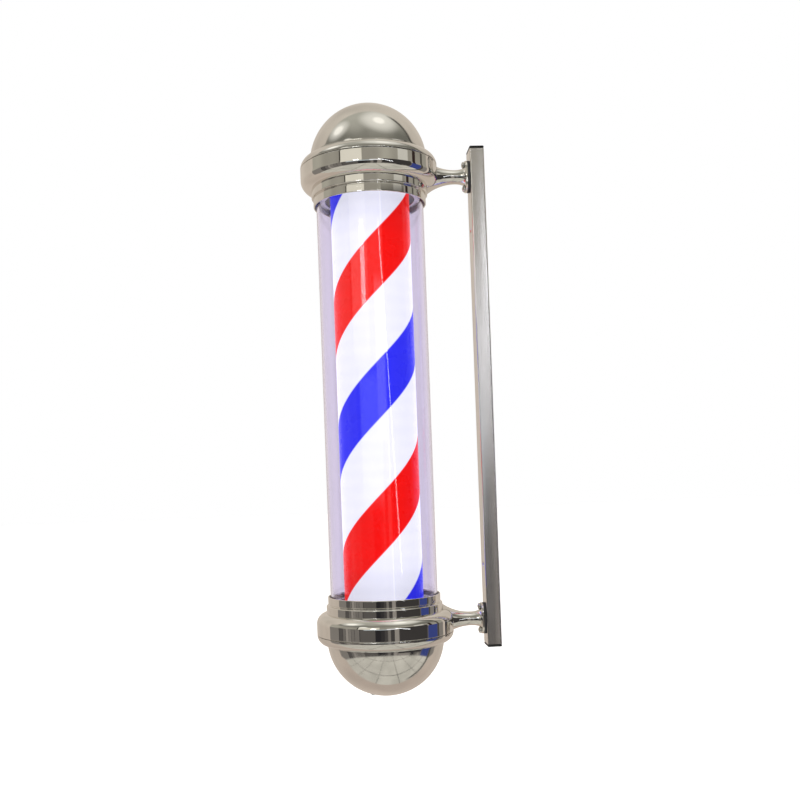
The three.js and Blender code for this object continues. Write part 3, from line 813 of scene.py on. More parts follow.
@dataclass
class FinishShelf:
    """All finishes of the object, each made once and handed out by its slot name."""

    axis_y: float
    made: dict[str, bpy.types.Material] = field(default_factory=dict)

    def stock(self) -> None:
        """Makes every finish."""
        finishes = (
            PlatedMetal("chrome", (0.80, 0.785, 0.745), (0.03, 0.075), 0.00030, 0.0),
            PlatedMetal("dome_chrome", (0.78, 0.765, 0.73), (0.075, 0.14), 0.00022, 0.0),
            PlatedMetal("screw_steel", (0.72, 0.71, 0.69), (0.18, 0.30), 0.0, 0.000004),
            PlatedMetal("zinc_steel", (0.56, 0.58, 0.61), (0.30, 0.48), 0.0001, 0.000010),
            PlatedMetal("collar_satin", (0.74, 0.73, 0.75), (0.22, 0.36), 0.0001, 0.000004),
            PlatedMetal("brass", (0.72, 0.50, 0.20), (0.25, 0.42), 0.0, 0.000008),
            PlatedMetal("aluminium_profile", (0.70, 0.71, 0.73), (0.28, 0.42), 0.0, 0.000008),
            BrushedMetal("brushed_rail", (0.80, 0.78, 0.765), (0.16, 0.26)),
            ClearAcrylic(),
            StripedFilm(axis_y=self.axis_y),
            LampBoard(),
            Moulding("opal_plastic", (0.86, 0.86, 0.88), (0.35, 0.5), 500, 0.00001, 0.25),
            Moulding("nylon", (0.80, 0.77, 0.68), (0.4, 0.55), 600, 0.00002),
            Moulding("rubber", (0.022, 0.022, 0.025), (0.55, 0.75), 900, 0.00004),
            Moulding("grey_seal", (0.20, 0.19, 0.22), (0.5, 0.7), 900, 0.00003, 0.0, 0.3),
            Moulding("black_plastic", (0.006, 0.0055, 0.006), (0.38, 0.55), 1100, 0.00003, 0.0, 0.2),
            Moulding("casing", (0.72, 0.72, 0.69), (0.4, 0.55), 800, 0.00003),
        )
        for finish in finishes:
            self.made[finish.name] = finish.build()

    def dress(self, piece: bpy.types.Object, finish: str) -> None:
        """Gives a piece one finish in all its material slots."""
        if not piece.data.materials:
            piece.data.materials.append(self.made[finish])
        for slot in piece.material_slots:
            slot.material = self.made[finish]


# ---------------------------------------------------------------- datum sizes


@dataclass
class Datum:
    """Main places of the object in millimetres, read from the CAD nodes' boxes.

    Attributes:
        axis_y: Pole axis along Y.
        tube_radius: Outside of the clear tube.
        tube_half: Half its length.
        ring_radius: Widest radius of an end.
        neck_z: Edge of the neck.
        seam_z: Seam between ring and dome.
        tip_z: Tip of the dome.
    """

    axis_y: float
    tube_radius: float
    tube_half: float
    ring_radius: float
    neck_z: float
    seam_z: float
    tip_z: float

    @classmethod
    def read(cls) -> Datum:
        """Reads the CAD boxes."""
        tube_low, tube_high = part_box("outer_tube")
        ring_low, ring_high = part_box("upper_ring")
        return cls(
            axis_y=(tube_low.y + tube_high.y) / 2 / MM,
            tube_radius=(tube_high.x - tube_low.x) / 2 / MM,
            tube_half=tube_high.z / MM,
            ring_radius=(ring_high.x - ring_low.x) / 2 / MM,
            neck_z=ring_low.z / MM,
            seam_z=ring_high.z / MM,
            tip_z=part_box("upper_dome")[1].z / MM,
        )

    def to_pole(self) -> Matrix:
        """Shift from the pole's own axis to its place in the frame."""
        return shifted(y=self.axis_y)


@dataclass
class Assembly:
    """Shared way to finish pieces: name, finish, body and CAD nodes that they stand for."""

    datum: Datum
    shelf: FinishShelf

    def place(
        self,
        piece: bpy.types.Object,
        finish: str,
        nodes: tuple[str, ...],
        body: Body = Body.FRAME,
        slot: str | None = None,
    ) -> bpy.types.Object:
        """Dresses a piece, makes it ride and hides the CAD nodes that it stands for.

        Args:
            piece: The piece, in its place.
            finish: Name of its finish.
            nodes: CAD nodes that it replaces.
            body: Body that it rides on.
            slot: Record slot where it differs from the finish.

        Returns:
            The piece.
        """
        self.shelf.dress(piece, finish)
        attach(piece, body.value)
        if nodes:
            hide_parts(*nodes)
        LOG.info("%s: %s faces, %s, on %s", piece.name, len(piece.data.polygons), finish, body.value)
        return piece


# ---------------------------------------------------------------- fasteners


@dataclass(frozen=True)
class PanScrew:
    """Pan-head screw with a cross recess, its head standing on z = 0.

    Attributes:
        head_radius: Radius of the head.
        head_height: Height of the head.
        shank_radius: Radius of the shank.
        length: Length of the shank.
    """

    head_radius: float
    head_height: float
    shank_radius: float
    length: float

    def build(self, name: str) -> bpy.types.Object:
        """Makes the screw; args: name of the piece, returns the object."""
        crown_base = self.head_height * 0.35
        crown = arc((0.0, crown_base), (self.head_radius, self.head_height - crown_base), 0, 90, 12)
        foot = [(0.0, -self.length), (self.shank_radius * 0.6, -self.length)]
        shank = [(self.shank_radius, -self.length + 1.0), (self.shank_radius, 0.0)]
        rim = [(self.head_radius - 0.2, 0.0), (self.head_radius, 0.2)]
        screw = MeshShop.spun(name, [*foot, *shank, *rim, *crown], SMALL_STEPS)
        depth = self.head_height * 0.55
        for turn in (0.0, math.pi / 2):
            blade = self.recess_blade(depth)
            MeshShop.moved(blade, Matrix.Rotation(turn + math.pi / 4, 4, "Z"))
            MeshShop.carved(screw, blade)
        return screw

    def recess_blade(self, depth: float) -> bpy.types.Object:
        """Tapered blade that cuts one slot of the cross recess.

        Args:
            depth: Depth of the slot.

        Returns:
            The blade.
        """
        radius = self.head_radius
        top = rounded_loop(1.15 * radius, 0.24 * radius, 0.05 * radius, 3)
        bottom = rounded_loop(0.55 * radius, 0.16 * radius, 0.04 * radius, 3)
        return MeshShop.stacked("blade", [(bottom, self.head_height - depth), (top, self.head_height + 1.0)])


ARM_SCREW = PanScrew(head_radius=3.9, head_height=3.2, shank_radius=1.8, length=11.0)
DOME_SCREW = PanScrew(head_radius=2.8, head_height=1.8, shank_radius=1.5, length=6.0)


# ---------------------------------------------------------------- one end of the pole


@dataclass
class PoleEnd(Assembly):
    """Chromed ring, dome, trumpet arm and trim of one end, drawn for the upper end.

    Attributes:
        end: Which end it is.
        shell: Sheet thickness of ring and dome.
        gap: Clearance between neighbours.
        lip_radius: Outside of the narrow neck band.
        lip_height: Height of the narrow neck band.
        groove: Depth and height of the groove above that band.
        step_radius: Outside of the second neck band.
        step_height: Height of the second neck band.
        shoulder: Width and height of the round shoulder.
        dome_inset: Ring radius less dome radius.
        roll_height: Height of the roll between seam and dome.
        spigot: Length of the dome's lip inside the ring.
        arm_drop: Arm axis below the seam.
        waist: Smallest radius of the arm.
        root_length: Length of the arm's flare at the ring.
        root_curve: Half axes of that flare.
        foot: Radius and length of the flare at the flange.
        flange: Width, height and corner radius of the flange.
        flange_thickness: Thickness of the flange.
        screw_spread: Arm screws from the arm axis.
        pocket: Radius and depth of the room for a screw's head beside the arm.
        dome_screw_spread: Dome screws either side of the far side, in degrees.
        gasket_setback: Gasket behind the neck's edge.
        gasket_height: Far edge of the gasket behind the neck's edge.
        collar_bore: Radius of the collar's bore.
        collar_wall: Thickness of the collar's upright wall.
        collar_face: Thickness of the collar's flat face.
    """

    end: End = End.UPPER
    shell: float = 1.5
    gap: float = 0.3
    lip_radius: float = 66.7
    lip_height: float = 10.5
    groove: Point2 = (1.1, 1.6)
    step_radius: float = 68.8
    step_height: float = 9.0
    shoulder: Point2 = (12.2, 12.0)
    dome_inset: float = 11.5
    roll_height: float = 12.0
    spigot: float = 6.5
    arm_drop: float = 11.0
    waist: float = 8.2
    root_length: float = 35.7
    root_curve: Point2 = (42.0, 50.0)
    foot: Point2 = (4.3, 11.8)
    flange: Point3 = (25.0, 37.0, 11.0)
    flange_thickness: float = 2.6
    screw_spread: float = 14.2
    pocket: Point2 = (4.4, 6.0)
    dome_screw_spread: float = 30.0
    gasket_setback: float = 1.2
    gasket_height: float = 8.0
    collar_bore: float = 53.0
    collar_wall: float = 1.5
    collar_face: float = 2.0

    def node(self, part: str) -> str:
        """Name of this end's CAD node."""
        return f"{self.end.label}_{part}"

    def settle(self, piece: bpy.types.Object) -> bpy.types.Object:
        """Takes a piece drawn about the upper end's axis to its place."""
        return MeshShop.moved(piece, self.end.placed(), self.datum.to_pole())

    def ring_surface(self) -> list[Corner]:
        """Outside of the ring from the seam down to the neck's edge."""
        ring = self.datum.ring_radius
        band_z = self.shoulder_top()
        step_z = self.step_bottom()
        width, height = self.shoulder
        centre = (self.step_radius, band_z)
        bowl = [Corner(x, y) for x, y in arc(centre, (width, height), 0, -90, 28)]
        groove_depth, groove_height = self.groove
        return [
            Corner(ring, self.datum.seam_z, 0.7),
            *bowl,
            Corner(self.step_radius, step_z, 1.0),
            Corner(self.lip_radius - groove_depth, step_z, 0.3),
            Corner(self.lip_radius - groove_depth, step_z - groove_height, 0.3),
            Corner(self.lip_radius, step_z - groove_height, 0.7),
            Corner(self.lip_radius, self.datum.neck_z, 0.7),
        ]

    def shoulder_top(self) -> float:
        """Height where the shoulder ends and the plain band begins."""
        return self.step_bottom() + self.step_height + self.shoulder[1]

    def step_bottom(self) -> float:
        """Height where the second neck band begins."""
        return self.datum.neck_z + self.lip_height

    def ring(self) -> bpy.types.Object:
        """Pressed ring with its stepped neck, groove and rolled edges."""
        thin = self.shell
        band_z = self.shoulder_top()
        width, height = self.shoulder
        inner_bowl = arc((self.step_radius, band_z), (width - thin, height - thin), -90, 0, 28)
        inside = [
            Corner(self.lip_radius - thin, self.datum.neck_z, 0.5),
            Corner(self.lip_radius - thin - self.groove[0], self.step_bottom() - self.groove[1], 0.3),
            Corner(self.lip_radius - thin - self.groove[0], self.step_bottom() + thin, 0.3),
            Corner(self.step_radius - thin, self.step_bottom() + thin, 0.5),
            *(Corner(x, y) for x, y in inner_bowl),
            Corner(self.datum.ring_radius - thin, self.datum.seam_z, 0.3),
        ]
        outline = supported(rounded([*self.ring_surface(), *inside]))
        return self.settle(MeshShop.spun(self.node("ring_shell"), outline, FINE_STEPS))

    def dome_surface(self) -> list[Point2]:
        """Outside of the dome from the seam to its tip."""
        radius = self.datum.ring_radius - self.dome_inset
        centre_z = self.datum.tip_z - radius
        roll_top = self.datum.seam_z + self.roll_height
        join_angle = math.degrees(math.asin((roll_top - centre_z) / radius))
        join_radius = radius * math.cos(math.radians(join_angle))
        base = self.datum.seam_z + self.gap
        roll = arc((join_radius, base), (self.datum.ring_radius - join_radius, roll_top - base), 2, 90, 26)
        groove = [(join_radius - 0.35, roll_top - 0.25)]
        cap = arc((0.0, centre_z), (radius, radius), join_angle, 90, 72)
        foot = [(self.datum.ring_radius - 0.5, base), (self.datum.ring_radius - 0.1, base + 0.15)]
        return [*foot, *roll, *groove, *cap[1:-1], (0.0, self.datum.tip_z)]

    def dome(self) -> bpy.types.Object:
        """Spun dome with its roll, the fine groove between them and the spigot inside the ring."""
        radius = self.datum.ring_radius - self.dome_inset
        centre_z = self.datum.tip_z - radius
        inner = radius - self.shell
        spigot = self.datum.ring_radius - self.shell - self.gap
        base = self.datum.seam_z + self.gap
        cavity = arc((0.0, centre_z), (inner, inner), 90, 8, 40)
        outline = [
            (spigot - self.shell, self.datum.seam_z - self.spigot),
            (spigot, self.datum.seam_z - self.spigot),
            (spigot, base),
            *self.dome_surface(),
            (0.0, centre_z + inner),
            *cavity[1:],
            (spigot - self.shell, base + self.shell),
        ]
        return self.settle(MeshShop.spun(self.node("dome_shell"), outline, FINE_STEPS))

    def envelope(self) -> bpy.types.Object:
        """Space inside the outside of ring and dome, which the arm is cut by."""
        ring = [(corner.x + self.gap, corner.y) for corner in self.ring_surface()]
        top = [(x + self.gap if x > 0 else 0.0, y) for x, y in self.dome_surface()]
        low = self.datum.neck_z - 20
        return MeshShop.spun("envelope", [(0.0, low), (ring[-1][0], low), *ring[::-1], *top], FINE_STEPS)

    def arm_radius(self, reach: float, root: float) -> float:
        """Radius of the arm ahead of its foot.

        Args:
            reach: Distance from the pole axis.
            root: Distance where the flare begins.

        Returns:
            The radius.
        """
        across, along = self.root_curve
        flare = max(0.0, root + self.root_length - reach) / along
        return self.waist + across * (1 - math.sqrt(1 - flare * flare))

    def flange_place(self) -> Point2:
        """Front and back of the flange as distances from the pole axis."""
        low, _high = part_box(self.node("arm_pad"))
        back = low.y / MM - self.gap - self.datum.axis_y
        return back - self.flange_thickness, back

    def arm(self) -> bpy.types.Object:
        """Trumpet arm that sits on the ring and ends in a screw flange."""
        front, _back = self.flange_place()
        root = self.step_radius - self.shell
        foot_radius, foot_length = self.foot
        waist_place = front - foot_length
        flare = []
        steps = 40
        for step in range(steps + 1):
            reach = root + (waist_place - root) * step / steps
            flare.append((self.arm_radius(reach, root), reach))
        foot = arc((self.waist + foot_radius, waist_place), (foot_radius, foot_length), 180, 92, 20)
        tail = [(self.waist + foot_radius, front + 0.5), (0.0, front + 0.5)]
        horn = MeshShop.spun(self.node("arm_casting"), [(0.0, root), *flare, *foot[1:], *tail], 128)
        MeshShop.moved(horn, ALONG_Y, shifted(z=self.datum.seam_z - self.arm_drop))
        MeshShop.carved(horn, self.envelope())
        deep = front - self.pocket[1]
        wide = self.pocket[0]
        for side in (-1, 1):
            outline = [(0, deep), (wide, deep), (wide, front), (0, front)]
            pocket = MeshShop.spun("pocket", outline, SMALL_STEPS)
            height = self.datum.seam_z - self.arm_drop + side * self.screw_spread
            MeshShop.carved(horn, MeshShop.moved(pocket, ALONG_Y, shifted(z=height)))
        width, height, corner = self.flange
        plate = MeshShop.pillow_plate("flange", (width, height), corner, self.flange_thickness, 0.8)
        MeshShop.moved(plate, ALONG_Y, shifted(y=front, z=self.datum.seam_z - self.arm_drop))
        return self.settle(MeshShop.merged(horn, plate))

    def pad(self) -> bpy.types.Object:
        """Rubber pad between flange and rail."""
        low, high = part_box(self.node("arm_pad"))
        width, height, corner = self.flange
        thickness = (high.y - low.y) / MM
        plate = MeshShop.pillow_plate(self.node("arm_rubber"), (width, height), corner, thickness, 0.45)
        MeshShop.moved(plate, ALONG_Y, shifted(y=low.y / MM - self.datum.axis_y))
        MeshShop.moved(plate, shifted(z=self.datum.seam_z - self.arm_drop))
        return self.settle(plate)

    def gasket(self) -> bpy.types.Object:
        """Rubber gasket between tube and neck, set back from the neck's edge."""
        low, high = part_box(self.node("neck_gasket"))
        bottom = min(abs(low.z), abs(high.z)) / MM
        outer = self.lip_radius - self.shell - self.gap
        inner = self.datum.tube_radius + 0.1
        corners = [
            Corner(inner, bottom + self.gasket_setback, 0.3),
            Corner(outer, bottom + self.gasket_setback, 0.3),
            Corner(outer, bottom + self.gasket_height, 0.2),
            Corner(inner, bottom + self.gasket_height, 0.2),
        ]
        return self.settle(MeshShop.spun(self.node("neck_rubber"), rounded(corners)))

    def collar(self) -> bpy.types.Object:
        """Angle ring inside the tube that shades the gap round the drum."""
        low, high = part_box(self.node("tube_collar"))
        face, top = sorted((abs(low.z) / MM, abs(high.z) / MM))
        outer = (high.x - low.x) / 2 / MM
        corners = [
            Corner(self.collar_bore, face, 0.6),
            Corner(outer, face, 0.8),
            Corner(outer, top, 0.2),
            Corner(outer - self.collar_wall, top, 0.2),
            Corner(outer - self.collar_wall, face + self.collar_face, 0.5),
            Corner(self.collar_bore, face + self.collar_face, 0.6),
        ]
        return self.settle(MeshShop.spun(self.node("collar_ring"), supported(rounded(corners))))

    def arm_screws(self) -> list[bpy.types.Object]:
        """The two pan-head screws through the flange."""
        front, _back = self.flange_place()
        screws = []
        for place, side in (("outer", 1), ("inner", -1)):
            screw = ARM_SCREW.build(self.node(f"arm_screw_{place}_head"))
            facing = Matrix.Rotation(math.pi / 2, 4, "X")
            height = self.datum.seam_z - self.arm_drop + side * self.screw_spread
            MeshShop.moved(screw, facing, shifted(y=front - self.gap, z=height))
            screws.append(self.settle(screw))
        return screws

    def dome_screws(self) -> list[bpy.types.Object]:
        """The two small screws that hold the dome's spigot in the ring, on the far side."""
        middle = 180.0 if self.end is End.UPPER else 0.0
        screws = []
        for index, side in enumerate((-1, 1)):
            screw = DOME_SCREW.build(self.node(f"dome_screw_{index + 1}_head"))
            facing = Matrix.Rotation(math.pi / 2, 4, "Y")
            reach = shifted(x=self.datum.ring_radius + self.gap, z=self.datum.seam_z - self.spigot / 2)
            bearing = Matrix.Rotation(math.radians(middle + side * self.dome_screw_spread), 4, "Z")
            screws.append(self.settle(MeshShop.moved(screw, facing, reach, bearing)))
        return screws

    def build(self) -> None:
        """Makes and dresses every piece of this end."""
        self.place(self.ring(), "chrome", (self.node("ring"),))
        self.place(self.dome(), "dome_chrome", (self.node("dome"),))
        self.place(self.arm(), "chrome", (self.node("arm"),))
        self.place(self.pad(), "rubber", (self.node("arm_pad"),))
        self.place(self.gasket(), "grey_seal", (self.node("neck_gasket"),), slot="rubber")
        self.place(self.collar(), "collar_satin", (self.node("tube_collar"),), slot="chrome")
        for screw, place in zip(self.arm_screws(), ("outer", "inner")):
            self.place(screw, "screw_steel", (self.node(f"arm_screw_{place}"),), slot="zinc_steel")
        for index, screw in enumerate(self.dome_screws()):
            self.place(screw, "screw_steel", (self.node(f"dome_screw_{index + 1}"),), slot="zinc_steel")


# ---------------------------------------------------------------- tube and drum


@dataclass
class ClearTube(Assembly):
    """Clear tube round the drum.

    Attributes:
        wall: Thickness of the wall.
    """

    wall: float = 3.0

    def build(self) -> None:
        """Makes and dresses the tube."""
        radius = self.datum.tube_radius
        half = self.datum.tube_half
        corners = [
            Corner(radius - self.wall, -half, 0.3),
            Corner(radius, -half, 0.3),
            Corner(radius, half, 0.3),
            Corner(radius - self.wall, half, 0.3),
        ]
        tube = MeshShop.spun("clear_tube_wall", supported(rounded(corners, 3)), FINE_STEPS)
        self.place(MeshShop.moved(tube, self.datum.to_pole()), "clear_tube", ("outer_tube",))


@dataclass
class StripedDrum(Assembly):
    """Striped film round the turning drum.

    Attributes:
        thickness: Thickness of the film with its lap.
        seam_width: Width of the lap in degrees.
        seam_rise: Height of the lap over the film.
    """

    thickness: float = 0.5
    seam_width: float = 4.0
    seam_rise: float = 0.15

    def build(self) -> None:
        """Makes and dresses the film, with one lapped seam along it."""
        low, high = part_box("drum_film")
        outer = (high.x - low.x) / 2 / MM
        half = high.z / MM
        corners = [
            Corner(outer - self.thickness, -half, 0.1),
            Corner(outer - self.seam_rise, -half, 0.1),
            Corner(outer - self.seam_rise, half, 0.1),
            Corner(outer - self.thickness, half, 0.1),
        ]
        film = MeshShop.spun("striped_film", supported(rounded(corners, 2)), 360)
        for vertex in film.data.vertices:
            radius = math.hypot(vertex.co.x, vertex.co.y)
            bearing = math.degrees(math.atan2(vertex.co.y, vertex.co.x))
            outside = radius > (outer - self.thickness + 0.1) * MM
            if outside and 0 <= bearing - SEAM_BEARING <= self.seam_width:
                grown = (radius + self.seam_rise * MM) / radius
                vertex.co.x *= grown
                vertex.co.y *= grown
        MeshShop.moved(film, self.datum.to_pole())
        self.place(film, "stripe_film", ("drum_film",), Body.DRUM)


# ---------------------------------------------------------------- wall rail


@dataclass
class WallRail(Assembly):
    """Brushed rectangular rail with black end caps.

    Attributes:
        wall: Sheet thickness of the rail.
        corner: Outside radius of its edges.
        hole_radius: Radius of the wall screw holes.
        hole_height: Height of those holes above and below the middle.
        hole_countersink: Radius of their countersink in the front face.
        cap_flange: Thickness of an end cap's flange.
        plug_wall: Wall of the cap's hollow plug.
    """

    wall: float = 1.5
    corner: float = 1.5
    hole_radius: float = 3.0
    hole_height: float = 200.0
    hole_countersink: float = 3.9
    cap_flange: float = 2.6
    plug_wall: float = 2.5

    def section(self) -> Point3:
        """Width, depth and half length of the rail."""
        low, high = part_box("rail")
        return (high.x - low.x) / MM, (high.y - low.y) / MM, high.z / MM

    def tube(self) -> bpy.types.Object:
        """Folded rail with softly broken end edges and its wall screw holes."""
        width, depth, half = self.section()
        levels = []
        for inset, height in ((0.25, -half), (0.0, -half + 0.25), (0.0, half - 0.25), (0.25, half)):
            loop = rounded_loop(width - 2 * inset, depth - 2 * inset, self.corner - inset, 6)
            levels.append((loop, height))
        inner = rounded_loop(width - 2 * self.wall, depth - 2 * self.wall, 0.3, 6)
        levels += [(inner, half), (inner, -half)]
        rail = MeshShop.stacked("rail_profile", levels, ring=True)
        MeshShop.moved(rail, shifted(y=-depth / 2))
        for side in (-1, 1):
            outline = [
                (0.0, -depth - 1),
                (self.hole_countersink + 0.2, -depth - 1),
                (self.hole_countersink, -depth),
                (self.hole_radius, -depth + 0.9),
                (self.hole_radius, 1.0),
                (0.0, 1.0),
            ]
            drill = MeshShop.spun("drill", outline, SMALL_STEPS)
            MeshShop.moved(drill, ALONG_Y, shifted(z=side * self.hole_height))
            MeshShop.carved(rail, drill)
        return rail

    def cap(self, end: End) -> bpy.types.Object:
        """Moulded cap with a softly rounded top and a plug inside the rail.

        Args:
            end: Which end of the rail.

        Returns:
            The cap.
        """
        width, depth, _half = self.section()
        low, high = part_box(f"rail_{end.label}_cap")
        bottom = -low.z / MM if end is End.LOWER else high.z / MM
        flange = self.cap_flange
        cap = MeshShop.pillow_plate(f"rail_cap_{end.label}", (width, depth), self.corner, flange, 0.8)
        MeshShop.moved(cap, shifted(z=bottom - flange))
        clear = 2 * (self.wall + 0.3)
        plug_depth = (high.z - low.z) / MM - flange
        plug = MeshShop.pillow_plate("plug", (width - clear, depth - clear), 0.9, plug_depth, 0.4)
        MeshShop.moved(plug, shifted(z=bottom - flange - plug_depth))
        inside = clear + 2 * self.plug_wall
        hollow = MeshShop.pillow_plate("hollow", (width - inside, depth - inside), 0.9, plug_depth, 0.4)
        MeshShop.moved(hollow, shifted(z=bottom - flange - plug_depth - 1))
        MeshShop.merged(cap, MeshShop.carved(plug, hollow))
        return MeshShop.moved(cap, end.placed(), shifted(y=-depth / 2))

    def build(self) -> None:
        """Makes and dresses the rail and its caps."""
        self.place(self.tube(), "brushed_rail", ("rail",))
        for end in End:
            self.place(self.cap(end), "black_plastic", (f"rail_{end.label}_cap",))


# ---------------------------------------------------------------- pieces that stay as the CAD drew them


class InnerWorks:
    """CAD nodes whose shape stays and that get a finish."""

    FINISHES: dict[str, tuple[str, ...]] = {
        "zinc_steel": (
            "upper_plate",
            "lower_plate",
            "upper_post_washer",
            "lower_post_washer",
            "upper_arm_bolt",
            "lower_arm_bolt",
            "centre_post",
            "motor_gearbox",
            "motor_can",
            "motor_screw_1",
            "motor_screw_2",
            "driver_screw_1",
            "driver_screw_2",
        ),
        "brass": ("upper_post_nut", "lower_post_nut"),
        "aluminium_profile": ("led_profile",),
        "led_board": ("led_strip_1", "led_strip_2", "led_strip_3", "led_strip_4"),
        "opal_plastic": ("drum_shell", "drum_upper_disc", "drum_lower_disc", "terminal_block"),
        "nylon": ("upper_bush", "lower_bush", "drum_gear", "motor_pinion", "lead_clamp"),
        "rubber": ("upper_tube_seal", "lower_tube_seal", "lead_grommet"),
        "casing": ("led_driver",),
    }

    def __init__(self, nodes: dict[str, bpy.types.Object], shelf: FinishShelf) -> None:
        """Keeps the CAD nodes and the finishes."""
        self.nodes = nodes
        self.shelf = shelf

    def build(self) -> None:
        """Dresses every carried-over node."""
        for finish, names in self.FINISHES.items():
            for name in names:
                self.shelf.dress(self.nodes[name], finish)
                LOG.info("%s: CAD shape kept, %s", name, finish)


# ---------------------------------------------------------------- studio


@dataclass(frozen=True)
class RoomThing:
    """Something that stands before the low wall of the mirrored room.

    Attributes:
        bearing: Middle of its bearing in radians, half its width, and the fade beside it.
        height: Middle of its height, half of that height, and the fade above and below it.
        tone: Its colour.
        leaning: True tilts it.
        slatted: True breaks it into slats.
    """

    bearing: Point3
    height: Point3
    tone: Colour
    leaning: bool = False
    slatted: bool = False


COUNTER = RoomThing((-0.30, 0.36, 0.06), (0.045, 0.05, 0.03), (0.58, 0.64, 0.68))
DOORWAY = RoomThing((0.79, 0.42, 0.06), (-0.06, 0.33, 0.03), (0.05, 0.046, 0.045))
WINDOW = RoomThing((0.13, 0.14, 0.03), (0.12, 0.070, 0.02), (1.0, 1.0, 1.04))
TUBE_LAMP = RoomThing((0.534, 0.010, 0.010), (0.08, 0.17, 0.01), (6.0, 6.2, 6.6), leaning=True)
BLIND = RoomThing((-0.41, 0.07, 0.01), (0.215, 0.035, 0.01), (9.0, 9.0, 9.2), slatted=True)

# Axis that each set of tile joints runs across, the shift of its first joint, and its joints in
# one height of the eye over the floor.
TILE_JOINTS = ((0, 40.31, 1.15), (1, 40.36, 2.02))

# Direction of each ceiling lamp, and the cosine of the angle where its halo begins.
CEILING_LAMPS = (((0.66, -0.62, 0.44), 0.985), ((0.25, 0.26, 0.93), 0.86), ((0.11, -0.65, 0.75), 0.94))


